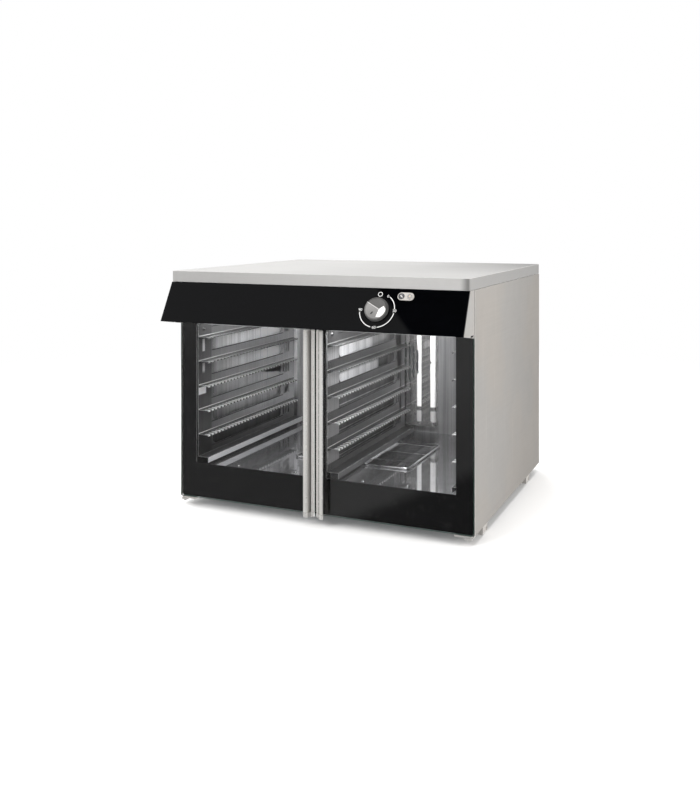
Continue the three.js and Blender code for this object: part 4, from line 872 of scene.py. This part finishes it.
def band(bm, inner, outer, z0, z1, closed=True, mat=0, matrix=None):
    """Closed strip between two outlines with the same number of points."""
    matrix = matrix or Matrix.Identity(4)
    v = [[bm.verts.new(matrix @ Vector((a, b, z))) for a, b in line] for z in (z0, z1) for line in (inner, outer)]
    il, ol, ih, oh = v
    n = len(inner)
    for i in range(n if closed else n - 1):
        j = (i + 1) % n
        for q in ((ih[i], oh[i], oh[j], ih[j]), (il[i], il[j], ol[j], ol[i]), (oh[i], ol[i], ol[j], oh[j]), (ih[i], ih[j], il[j], il[i])):
            f = bm.faces.new(q)
            f.material_index = mat
    if not closed:
        bm.faces.new((il[0], ol[0], oh[0], ih[0])).material_index = mat
        bm.faces.new((il[-1], ih[-1], oh[-1], ol[-1])).material_index = mat
    return bm


def axis_matrix(at, normal):
    z = Vector(normal).normalized()
    x = Vector((1, 0, 0)) if abs(z.x) < 0.8 else Vector((0, 1, 0))
    x = (x - z * x.dot(z)).normalized()
    y = z.cross(x)
    m = Matrix.Identity(4)
    for i, v in enumerate((x, y, z, Vector(at))):
        m.col[i][:3] = v
    return m


def screw(bm, at, normal, r=0.004, h=0.0022, turn=0.0, mat=0):
    """Pan-head screw with a cross recess, its head standing on the face at that point."""
    m = axis_matrix(at, normal) @ Matrix.Rotation(turn, 4, "Z")
    seg = 48

    def cross(i, k):
        t = (TAU * i / seg) % (math.pi / 2)
        t = min(t, math.pi / 2 - t)
        return k * (0.56 if t < 0.20 else 0.56 - (0.56 - 0.2) * min(1, (t - 0.20) / 0.14))

    prof = [(lambda i: 1.0, -0.25), (lambda i: 1.0, 0.28), (lambda i: 0.95, 0.58), (lambda i: 0.80, 0.86), (lambda i: 0.64, 0.98),
            (lambda i: cross(i, 1.0), 1.0), (lambda i: cross(i, 0.78), 0.35)]
    loops = []
    for fn, z in prof:
        loops.append([bm.verts.new(m @ Vector((fn(i) * r * math.cos(TAU * i / seg), fn(i) * r * math.sin(TAU * i / seg), z * h)))
                      for i in range(seg)])
    for a, b in zip(loops, loops[1:]):
        for i in range(seg):
            bm.faces.new((a[i], a[(i + 1) % seg], b[(i + 1) % seg], b[i])).material_index = mat
    for ring, z, rev in ((loops[0], -0.25, True), (loops[-1], 0.3, False)):
        c = bm.verts.new(m @ Vector((0, 0, z * h)))
        for i in range(seg):
            bm.faces.new((ring[(i + 1) % seg], ring[i], c) if rev else (ring[i], ring[(i + 1) % seg], c)).material_index = mat
    return bm


def arc_pts(cx, cy, r, a0, a1, n):
    return [(cx + r * math.cos(a0 + (a1 - a0) * i / n), cy + r * math.sin(a0 + (a1 - a0) * i / n)) for i in range(n + 1)]


# ---------------------------------------------------------------- control knob
kz = fascia_frame(knob_at.x, knob_at.z)
KR = 0.034
prof = [(0.0, 0.0016), (KR - 0.0022, 0.0016), (KR - 0.0016, 0.0011), (KR - 0.0004, 0.0011), (KR, 0.0015), (KR, 0.0029),
        (KR - 0.0004, 0.0036), (KR - 0.0006, 0.0048), (KR - 0.0012, 0.0108), (KR - 0.0014, 0.0117), (KR - 0.0019, 0.0124),
        (KR - 0.0026, 0.01285), (KR - 0.0034, 0.0130), (KR - 0.0042, 0.0129), (KR - 0.0050, 0.01268),
        (0.0240, 0.01235), (0.0180, 0.01190), (0.0120, 0.01145), (0.0060, 0.01105), (0.0020, 0.01085), (0.0, 0.0108)]
mats = [1] * 9 + [0] * 11
bm = bmesh.new()
lathe(bm, prof, 128, mats=mats)
knob = obj_from("knob_cap", bm, ["knob", "knob_side"], kz, body="knob")
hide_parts("control_knob")
# pointer: a black inlay in the dished face
rest_turn = -math.radians(215)
bm = bmesh.new()
mp = Matrix.Rotation(rest_turn, 4, "Z")
dish = lambda r: 0.0108 + (0.0129 - 0.0108) * (r / 0.0298) ** 1.1
out = round_rect(-0.0017, 0.0017, 0.0115, 0.0203, 0.0016, 6)
lo = [bm.verts.new(mp @ Vector((a, b, dish(math.hypot(a, b)) - 0.0012))) for a, b in out]
hi = [bm.verts.new(mp @ Vector((a, b, dish(math.hypot(a, b)) + 0.00016))) for a, b in out]
bm.faces.new(list(reversed(lo)))
bm.faces.new(hi)
for i in range(len(out)):
    j = (i + 1) % len(out)
    bm.faces.new((lo[i], lo[j], hi[j], hi[i]))
obj_from("knob_pointer", bm, "pointer", kz, smooth=False, body="knob")

# ---------------------------------------------------------------- printed dial on the fascia
INK0, INK1 = 0.00004, 0.00018
DIAL_R = 0.0502
bm = bmesh.new()


def dial_angle(deg):
    """Clockwise from up, seen from the front, as an angle from local x."""
    return math.radians(90 - deg)


STROKE = 0.0021
for a, b in ((38.5, 84), (98, 170), (192, 262)):
    n = 28
    ri = arc_pts(0, 0, DIAL_R - STROKE / 2, dial_angle(a), dial_angle(b), n)
    ro = arc_pts(0, 0, DIAL_R + STROKE / 2, dial_angle(a), dial_angle(b), n)
    band(bm, ro, ri, INK0, INK1, closed=False)
# off mark: a ring above the knob
t = dial_angle(1.9)
cx, cy = 0.0468 * math.cos(t), 0.0468 * math.sin(t)
ri = arc_pts(cx, cy, 0.0053, 0, TAU, 36)[:-1]
ro = arc_pts(cx, cy, 0.0070, 0, TAU, 36)[:-1]
band(bm, ro, ri, INK0, INK1)
obj_from("dial_scale_print", bm, "print", kz, smooth=False)


def text_mesh(name, text, size, matrix, mat, body="cabinet", thick=0.00007):
    cu = bpy.data.curves.new(name, "FONT")
    cu.body = text
    cu.size = size
    cu.align_x = "CENTER"
    cu.align_y = "CENTER"
    cu.extrude = thick
    cu.resolution_u = 6
    cu.offset = -size * 0.004
    tmp = bpy.data.objects.new(name + "_c", cu)
    scene.collection.objects.link(tmp)
    dg = bpy.context.evaluated_depsgraph_get()
    me = bpy.data.meshes.new_from_object(tmp.evaluated_get(dg))
    bpy.data.objects.remove(tmp)
    bm2 = bmesh.new()
    bm2.from_mesh(me)
    bmesh.ops.remove_doubles(bm2, verts=bm2.verts, dist=1e-7)
    for f in bm2.faces:
        f.material_index = 0
    return obj_from(name, bm2, mat, matrix, smooth=False, body=body)


for label, deg, r in (("0", 31.7, 0.0486), ("30", 90.5, 0.0506), ("60", 180.3, 0.0504), ("90", 268.8, 0.0487)):
    t = dial_angle(deg)
    m = kz @ Matrix.Translation((r * math.cos(t), r * math.sin(t), INK0 + 0.00007))
    text_mesh("dial_number_" + label, label, 0.0112, m, "print")

# ---------------------------------------------------------------- lamps
lz = fascia_frame(lamp_x, lamp_z)
# the bezel's own centre on the glass face, from the CAD piece
c = (lamp_lo + lamp_hi) / 2
off = (c - lz.translation).dot(n_up)
lz = lz @ Matrix.Translation((0, off, 0))
BZ0, BZ1 = 0.0003, 0.0032
bm = bmesh.new()


def pill(w, h, n=20):
    r = h / 2
    a = arc_pts(w / 2 - r, 0, r, -math.pi / 2, math.pi / 2, n)
    b = arc_pts(-w / 2 + r, 0, r, math.pi / 2, 1.5 * math.pi, n)
    return a + b


LP = 0.012
hole_r = 0.0087
cu = bpy.data.curves.new("bezel", "CURVE")
cu.dimensions = "2D"
cu.fill_mode = "BOTH"
for line in (pill(0.0466, 0.0220), arc_pts(-LP, 0, hole_r + 0.0003, 0, TAU, 48)[:-1], arc_pts(LP, 0, hole_r + 0.0003, 0, TAU, 48)[:-1]):
    sp = cu.splines.new("POLY")
    sp.points.add(len(line) - 1)
    for p, (a, b) in zip(sp.points, line):
        p.co = (a, b, 0, 1)
    sp.use_cyclic_u = True
cu.extrude = (BZ1 - BZ0) / 2 - 0.0004
cu.bevel_depth = 0.0004
cu.bevel_resolution = 2
cu.offset = -0.0002
tmp = bpy.data.objects.new("bezel_c", cu)
scene.collection.objects.link(tmp)
me = bpy.data.meshes.new_from_object(tmp.evaluated_get(bpy.context.evaluated_depsgraph_get()))
bpy.data.objects.remove(tmp)
bm = bmesh.new()
bm.from_mesh(me)
bmesh.ops.remove_doubles(bm, verts=bm.verts, dist=1e-7)
for f in bm.faces:
    f.material_index = 0
bez = obj_from("lamp_bezel_plate", bm, "bezel", lz @ Matrix.Translation((0, 0, (BZ0 + BZ1) / 2)))
n = bez.modifiers.new("normals", "WEIGHTED_NORMAL")
n.weight = 80
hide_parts("lamp_bezel")
for side, nm, mt, sl in ((-1, "lamp_power", "lamp_dark", "lamp_dark"), (1, "lamp_heating", "lamp_light", "lamp_light")):
    bm = bmesh.new()
    body = [(0.0, -0.0238), (0.0060, -0.0238), (0.0063, -0.0235), (0.0063, 0.0006), (0.0081, 0.0006), (0.0083, 0.0009), (0.0083, 0.0033)]
    if side < 0:                                 # large dark lens in a bright collar
        front = [(0.0093, 0.0034), (0.0095, 0.0037), (0.0094, 0.0040), (0.0091, 0.0041), (0.0089, 0.0039), (0.0082, 0.0042),
                 (0.0066, 0.0048), (0.0046, 0.0053), (0.0024, 0.0056), (0.0010, 0.0057), (0.0, 0.0057)]
        lathe(bm, body + front, 64, mats=[1] * 6 + [2] * 5 + [0] * 6)
    else:                                        # small light lens in a wide flange
        front = [(0.0081, 0.0036), (0.0076, 0.0038), (0.0066, 0.0038), (0.0063, 0.0034), (0.0056, 0.0034), (0.0052, 0.0040),
                 (0.0044, 0.0046), (0.0032, 0.0051), (0.0018, 0.0054), (0.0008, 0.0055), (0.0, 0.0055)]
        lathe(bm, body + front, 64, mats=[1] * 6 + [2] * 3 + [0] * 8)
    o = obj_from(nm + "_lens", bm, [mt, "plastic", "bezel"], lz @ Matrix.Translation((side * LP, 0, 0)))
    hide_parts(nm)

# ---------------------------------------------------------------- wire guard round the basin
lo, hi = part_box("basin_guard")
gr = 0.0035
z = (lo.z + hi.z) / 2
X, Y0, Y1, R = hi.x - gr, lo.y + gr + 0.00045, hi.y - gr - 0.00045, 0.014
outline = round_rect(-X, X, Y0, Y1, R, 10)
bm = bmesh.new()
loop = []
for i, (a, b) in enumerate(outline):
    loop.append(Vector((a, b, z)))
tube(bm, loop, gr, 20, closed=True)
for y in (Y0, Y1):
    tube(bm, [(-0.0075, y, z), (-0.0070, y, z), (-0.0066, y, z), (0.0066, y, z), (0.0070, y, z), (0.0075, y, z)], gr + 0.00045, 24,
         radii=[gr + 0.0001, gr + 0.0003, gr + 0.00042, gr + 0.00042, gr + 0.0003, gr + 0.0001])
guard = obj_from("basin_wire_guard", bm, "chrome")
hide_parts("basin_guard")

# ---------------------------------------------------------------- power cable
lo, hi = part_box("power_cable")
g_lo, g_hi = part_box("cable_gland")
cxx, czz = (g_lo.x + g_hi.x) / 2, (g_lo.z + g_hi.z) / 2
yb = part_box("back_panel")[1].y + 0.0004
pts = [Vector((cxx - 0.034, yb - 0.022, czz))]
for i in range(9):
    t = i / 8 * math.pi / 2
    pts.append(Vector((cxx - 0.012 + 0.012 * math.sin(t), yb - 0.022 + 0.012 * (1 - math.cos(t)), czz)))
yq, Rq = yb + 0.014, 0.015
for i in range(17):
    t = i / 16 * math.pi / 2
    pts.append(Vector((cxx, yq + Rq * math.sin(t), czz - Rq + Rq * math.cos(t))))
pts.append(Vector((cxx, yq + Rq, 0.030)))
pts.append(Vector((cxx, yq + Rq, 0.0215)))
bm = bmesh.new()
tube(bm, pts, 0.004, 24)
for k, (dx, dy) in enumerate(((0.0014, 0.0), (-0.0008, 0.0013), (-0.0008, -0.0013))):
    tube(bm, [Vector((cxx + dx, yq + Rq + dy, 0.0225)), Vector((cxx + dx, yq + Rq + dy, 0.016)),
              Vector((cxx + dx * 1.2, yq + Rq + dy * 1.2, 0.0115))], 0.00105, 14, mat=1 + k)
    tube(bm, [Vector((cxx + dx * 1.2, yq + Rq + dy * 1.2, 0.012)), Vector((cxx + dx * 1.2, yq + Rq + dy * 1.2, 0.0081))],
         0.0006, 10, mat=4)
cable = obj_from("power_cable_cores", bm, ["cable", "core_brown", "core_blue", "core_green", "copper"])
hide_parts("power_cable")
# ribs of the gland's dome nut
bm = bmesh.new()
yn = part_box("cable_gland")[1].y
for i in range(18):
    t = TAU * i / 18
    tube(bm, [Vector((cxx + 0.0108 * math.cos(t), yn - 0.0056, czz + 0.0108 * math.sin(t))),
              Vector((cxx + 0.0108 * math.cos(t), yn - 0.0005, czz + 0.0108 * math.sin(t)))], 0.0007, 8)
obj_from("cable_gland_ribs", bm, "plastic")

# ---------------------------------------------------------------- gasket beads on the back of each door
for side, s in (("right", 1), ("left", -1)):
    lo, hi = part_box("door_gasket_" + side)
    xo = (lo.x, hi.x) if s > 0 else (-hi.x, -lo.x)
    yk = hi.y - 0.0016
    bm = bmesh.new()
    for x0, x1, z0, z1, rr, q in ((0.0148 - 0.0022, 0.4262 + 0.0022, 0.1215 - 0.0022, 0.5606 + 0.0020, (0.0062,) * 4, 0.0011),
                                  (xo[0] + 0.0022, xo[1] - 0.0022, lo.z + 0.0022, hi.z - 0.0022, (0.0048,) * 4, 0.0011)):
        loop = [Vector((s * a, yk, b)) for a, b in round_rect(x0, x1, z0, z1, rr, 10)]
        if s < 0:
            loop.reverse()
        tube(bm, loop, q, 12, closed=True)
    obj_from("gasket_beads_" + side, bm, "seal", body=side + "_door")

# ---------------------------------------------------------------- screws
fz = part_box("chamber_floor")[1].z
bm = bmesh.new()
for i, x in enumerate((-305, -110, 110, 248, -415, 415)):
    screw(bm, mm(x, 78 if abs(x) < 400 else 52, fz * 1000), (0, 0, 1), 0.0044, 0.0026, i * 0.7)
for i, x in enumerate((-400, 400)):
    screw(bm, mm(x, 690, fz * 1000), (0, 0, 1), 0.0044, 0.0026, i * 0.7 + 0.3)
obj_from("chamber_floor_screws", bm, "screw")

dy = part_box("rear_duct")[0].y
bm = bmesh.new()
for i, (x, zz) in enumerate(((-110, 165), (110, 165), (-110, 580), (110, 580), (-110, 372), (110, 372))):
    screw(bm, Vector((x / 1000, dy, zz / 1000)), (0, -1, 0), 0.004, 0.0022, i * 0.5)
obj_from("duct_screws", bm, "screw")

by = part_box("back_panel")[1].y
bm = bmesh.new()
k = 0
for x in (-450, -300, -150, 0, 150, 300, 450):
    for zz in (40, 676):
        screw(bm, Vector((x / 1000, by, zz / 1000)), (0, 1, 0), 0.004, 0.0022, k * 0.9)
        k += 1
for x in (-452, 452):
    for zz in (200, 360, 520):
        screw(bm, Vector((x / 1000, by, zz / 1000)), (0, 1, 0), 0.004, 0.0022, k * 0.9)
        k += 1
obj_from("back_panel_screws", bm, "screw")

for side, s in (("right", 1), ("left", -1)):
    bm = bmesh.new()
    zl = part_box("hinge_bracket_lower_" + side)
    screw(bm, mm(s * 446, 46, 24.2), (0, 0, -1), 0.0035, 0.002, 0.3)
    screw(bm, mm(s * 456, 54, 24.2), (0, 0, -1), 0.0035, 0.002, 0.8)
    obj_from("hinge_screws_" + side, bm, "screw")
    bm = bmesh.new()
    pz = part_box("door_pivot_lower_" + side)
    for x, y in ((420, 3), (420, 11), (436, 7)):
        screw(bm, Vector((s * x / 1000, y / 1000 + FACE_Y, pz[0].z)), (0, 0, -1), 0.0024, 0.0012, x * 0.3)
    obj_from("pivot_screws_" + side, bm, "screw", body=side + "_door")

# rack fixings: dome nuts on the studs through the slotted sheets
bm = bmesh.new()


def dome_nut(bm, at, normal, r=0.0048):
    m = axis_matrix(at, normal)
    lathe(bm, [(0.0, -0.0004), (r * 1.25, -0.0004), (r * 1.25, 0.0006), (r, 0.0008), (r, 0.003), (r * 0.86, 0.0044), (r * 0.55, 0.0056), (0.0, 0.0061)], 24, m)


for node, s, face in (("rack_left", 1, "hi"), ("rack_right", -1, "lo")):
    lo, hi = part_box(node)
    x = -0.427 if node == "rack_left" else 0.427
    for y in (70, 660):
        for zz in (535,):
            dome_nut(bm, Vector((x, y / 1000 + FACE_Y, zz / 1000)), (s, 0, 0))
for s in (1, -1):
    for y in (70, 660):
        dome_nut(bm, Vector((s * 0.015, y / 1000 + FACE_Y, 0.540)), (s, 0, 0))
obj_from("rack_dome_nuts", bm, "nut")

# ---------------------------------------------------------------- embossed grip ribs along the outer edge of every tray ledge
for node, face, s in (("rack_left", -0.427, 1), ("rack_centre_right", 0.015, 1), ("rack_centre_left", -0.015, -1), ("rack_right", 0.427, -1)):
    bm = bmesh.new()
    y0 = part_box(node)[0].y
    for i in range(5):
        z = 0.5129 - 0.0756 * i
        sec = [(0.0195, -0.0003), (0.0195, 0.0003), (0.0202, 0.0007), (0.0349, 0.0007), (0.0355, 0.0001), (0.0355, -0.0046), (0.0348, -0.0046), (0.0348, -0.0003)]
        for k in range(31):
            y = y0 + 0.0015 + 0.0200 * k
            a = [bm.verts.new((face + s * q, y, z + w)) for q, w in sec]
            b = [bm.verts.new((face + s * q, y + 0.0092, z + w)) for q, w in sec]
            m = len(sec)
            bm.faces.new(a)
            bm.faces.new(list(reversed(b)))
            for j in range(m):
                bm.faces.new((a[j], b[j], b[(j + 1) % m], a[(j + 1) % m]))
    o = obj_from("ledge_ribs_" + node, bm, "rib", smooth=False)

# ---------------------------------------------------------------- floor, light, camera
LIGHT_PATH = "ShaderNodeLightPath"

g = Graph("studio_floor")
p = g.xyz(g.obj)
rad = g.math("SQRT", g.math("ADD", g.math("MULTIPLY", p["X"], p["X"]), g.math("MULTIPLY", p["Y"], p["Y"])))
away = g.remap(rad, 1.6, 3.4, 0.0, 1.0, "SMOOTHSTEP")
tone = g.noise(1.4, 3.0, 0.5)
matt = g.node("ShaderNodeBsdfDiffuse", {"Color": g.shade((0.93, 0.93, 0.93), g.remap(tone, 0.3, 0.7, 0.99, 1.01))})
gone = g.node("ShaderNodeBsdfTransparent", {"Color": (1, 1, 1)})
g.done(g.node("ShaderNodeMixShader", {0: away, 1: matt.outputs[0], 2: gone.outputs[0]}).outputs[0])
bm = bmesh.new()
ring = [bm.verts.new((4.0 * math.cos(TAU * i / 96), 4.0 * math.sin(TAU * i / 96), 0)) for i in range(96)]
bm.faces.new(ring)
me = bpy.data.meshes.new("studio_floor")
bm.to_mesh(me)
bm.free()
me.materials.append(g.mat)
floor = bpy.data.objects.new("studio_floor", me)
scene.collection.objects.link(floor)
floor.visible_glossy = False

world = bpy.data.worlds.new("studio")
scene.world = world
world.use_nodes = True
world.cycles.sampling_method = "NONE"


class WorldGraph(Graph):
    def __init__(self, w):
        self.nt = w.node_tree
        self.nt.nodes.clear()
        self.tc = self.nt.nodes.new("ShaderNodeTexCoord")
        self.obj = self.tc.outputs["Generated"]


g = WorldGraph(world)
d = g.vmath("NORMALIZE", g.obj)
c = g.xyz(d)


def dot(v):
    return g.vmath("DOT_PRODUCT", d, tuple(v), out=1)


front = g.remap(c["Y"], -0.25, 0.25, 1.0, 0.0, "SMOOTHSTEP")
# bright surroundings at eye level, a dim ceiling with one overhead softbox, a grey floor
level = g.remap(c["Z"], 0.10, 0.52, 0.86, 0.34, "SMOOTHSTEP")
level = g.math("ADD", level, g.math("MULTIPLY", g.remap(c["Z"], 0.84, 0.93, 0.0, 1.0, "SMOOTHSTEP"), 1.7))
# the dark side of the ceiling in front, to the right
flag = g.remap(dot((0.7364, 0.2862, 0.6131)), -0.002, 0.003, 0.0, 1.0)
flag = g.math("MULTIPLY", flag, g.remap(c["Z"], 0.52, 0.60, 0.0, 1.0, "SMOOTHSTEP"))
flag = g.math("MULTIPLY", flag, g.remap(c["Z"], 0.86, 0.82, 0.0, 1.0, "SMOOTHSTEP"))
flag = g.math("MULTIPLY", flag, g.remap(c["Y"], -0.3, -0.15, 1.0, 0.0))
level = g.math("MULTIPLY", level, g.remap(flag, 0.0, 1.0, 1.0, 0.04))
# floor as seen in reflections
low = g.remap(c["Z"], -0.02, -0.16, 0.0, 1.0, "SMOOTHSTEP")
ratio = g.math("DIVIDE", c["X"], g.math("MAXIMUM", g.math("ABSOLUTE", c["Y"]), 0.05))
ground = g.remap(dot((-0.4249, -0.1405, 0.8943)), -0.004, 0.014, 0.10, 0.47, "SMOOTHSTEP")
ground = g.math("MULTIPLY", ground, g.remap(ratio, -0.50, -0.455, 0.52, 1.0, "SMOOTHSTEP"))
dim = g.math("MULTIPLY", g.remap(ratio, -0.40, -0.30, 0.0, 0.3, "SMOOTHSTEP"), g.remap(dot((-0.4249, -0.1405, 0.8943)), 0.03, 0.11, 1.0, 0.0, "SMOOTHSTEP"))
ground = g.math("MULTIPLY", ground, g.math("SUBTRACT", 1.0, dim))
ground = g.math("ADD", g.math("MULTIPLY", ground, front), g.math("MULTIPLY", g.math("SUBTRACT", 1.0, front), 0.6))
low_v = g.math("MULTIPLY", g.math("SUBTRACT", ground, level), low)
level = g.math("ADD", level, low_v)
lp = g.node(LIGHT_PATH)
# light that leaves the chamber through the door glass meets tall bright panels in front of the cabinet
panel = g.noise(26.0, 2.0, 0.5, vec=g.node("ShaderNodeCombineXYZ", {"X": ratio}).outputs[0], loc=(3.3, 0, 0))
inside = g.remap(panel, 0.42, 0.58, 0.35, 1.35, "SMOOTHSTEP")
inside = g.math("MULTIPLY", inside, g.remap(c["Z"], -0.75, -0.25, 0.45, 1.0))
through = g.math("GREATER_THAN", lp.outputs["Transparent Depth"], 3.5)
level = g.math("ADD", level, g.math("MULTIPLY", through, g.math("SUBTRACT", inside, level)))
glossy = g.node("ShaderNodeBackground", {"Color": (1.0, 0.995, 0.985), "Strength": level})
ambient = g.node("ShaderNodeBackground", {"Color": (1.0, 0.995, 0.985), "Strength": 0.62})
seen = g.node("ShaderNodeBackground", {"Color": (1.0, 1.0, 1.0), "Strength": 1.0})
a = g.node("ShaderNodeMixShader", {0: lp.outputs["Is Glossy Ray"], 1: ambient.outputs[0], 2: glossy.outputs[0]})
b = g.node("ShaderNodeMixShader", {0: lp.outputs["Is Camera Ray"], 1: a.outputs[0], 2: seen.outputs[0]})
out = g.nt.nodes.new("ShaderNodeOutputWorld")
g.nt.links.new(b.outputs[0], out.inputs["Surface"])


def area(name, at, target, size, power, colour=(1, 1, 1), glossy=False, size_y=None):
    li = bpy.data.lights.new(name, "AREA")
    li.shape = "RECTANGLE"
    li.size = size
    li.size_y = size_y or size
    li.energy = power
    li.color = colour
    o = bpy.data.objects.new(name, li)
    scene.collection.objects.link(o)
    o.location = at
    o.rotation_euler = (Vector(target) - Vector(at)).to_track_quat("-Z", "Y").to_euler()
    o.visible_camera = False
    o.visible_glossy = glossy
    return o


area("key", (-1.6, -3.4, 2.6), (0, 0, 0.35), 2.2, 95)
area("top_box", (0.0, 0.1, 3.2), (0, 0, 0), 2.6, 100)
area("side_fill", (3.4, -1.0, 1.3), (0.4, 0.0, 0.35), 1.8, 55, (1.0, 0.965, 0.93))
area("rear_fill", (-1.5, 3.6, 1.8), (0, 0, 0.35), 2.0, 60)
area("left_fill", (-3.6, 0.0, 1.6), (0, 0, 0.35), 2.0, 55)
# light bounced into the chamber
area("chamber_fill", mm(0, 60, 588), mm(0, 420, 130), 0.78, 3.2, glossy=True, size_y=0.05)

# a narrow lamp behind the door heads that lights the air duct alone
duct_lamp = area("duct_lamp", mm(60, 90, 570), mm(60, 700, 430), 0.30, 7.0, size_y=0.04)
duct_set = bpy.data.collections.new("duct_lit")
for o in bpy.data.objects:
    if o.type == "MESH" and "rear_duct" in o.name:
        duct_set.objects.link(o)
duct_lamp.light_linking.receiver_collection = duct_set
# and one in each bay for the sheets that face the right-hand side
for name, at, to, power, keys in (("divider_lamp", mm(330, 60, 560), mm(0, 260, 400), 1.3, ("rack_divider",)),
                                  ("left_bay_lamp", mm(-60, 60, 560), mm(-430, 300, 380), 0.25, ("rack_left",))):
    lamp = area(name, at, to, 0.2, power, size_y=0.04)
    lit = bpy.data.collections.new(name + "_lit")
    for o in bpy.data.objects:
        if o.type == "MESH" and any(o.name.startswith(k) for k in keys):
            lit.objects.link(o)
    lamp.light_linking.receiver_collection = lit

cam_data = bpy.data.cameras.new("camera")
cam = bpy.data.objects.new("camera", cam_data)
scene.collection.objects.link(cam)
CAM_AT = mm(1141.4, -2372.04, 877.46)
cam.location = CAM_AT
cam.rotation_euler = (math.pi / 2, 0.0, 0.4123)
cam_data.lens = 41.087
cam_data.sensor_width = 36.0
cam_data.clip_start, cam_data.clip_end = 0.05, 60.0
scene.camera = cam
# the main camera is level with its frame moved up; other viewpoints use no shift
drv = cam_data.driver_add("shift_y").driver
drv.type = "SCRIPTED"
v = drv.variables.new()
v.name = "x"
v.type = "TRANSFORMS"
v.targets[0].id = cam
v.targets[0].transform_type = "LOC_X"
v.targets[0].transform_space = "WORLD_SPACE"
drv.expression = "-0.2255 if abs(x - 1.1414) < 0.002 else 0.0"
cam_data.shift_y = -0.2255

scene.view_settings.view_transform = "Standard"
scene.view_settings.look = "None"
scene.cycles.max_bounces = 14
scene.cycles.glossy_bounces = 10
scene.cycles.transparent_max_bounces = 16
scene.cycles.sample_clamp_indirect = 6.0
scene.cycles.caustics_reflective = True
scene.cycles.blur_glossy = 0.6
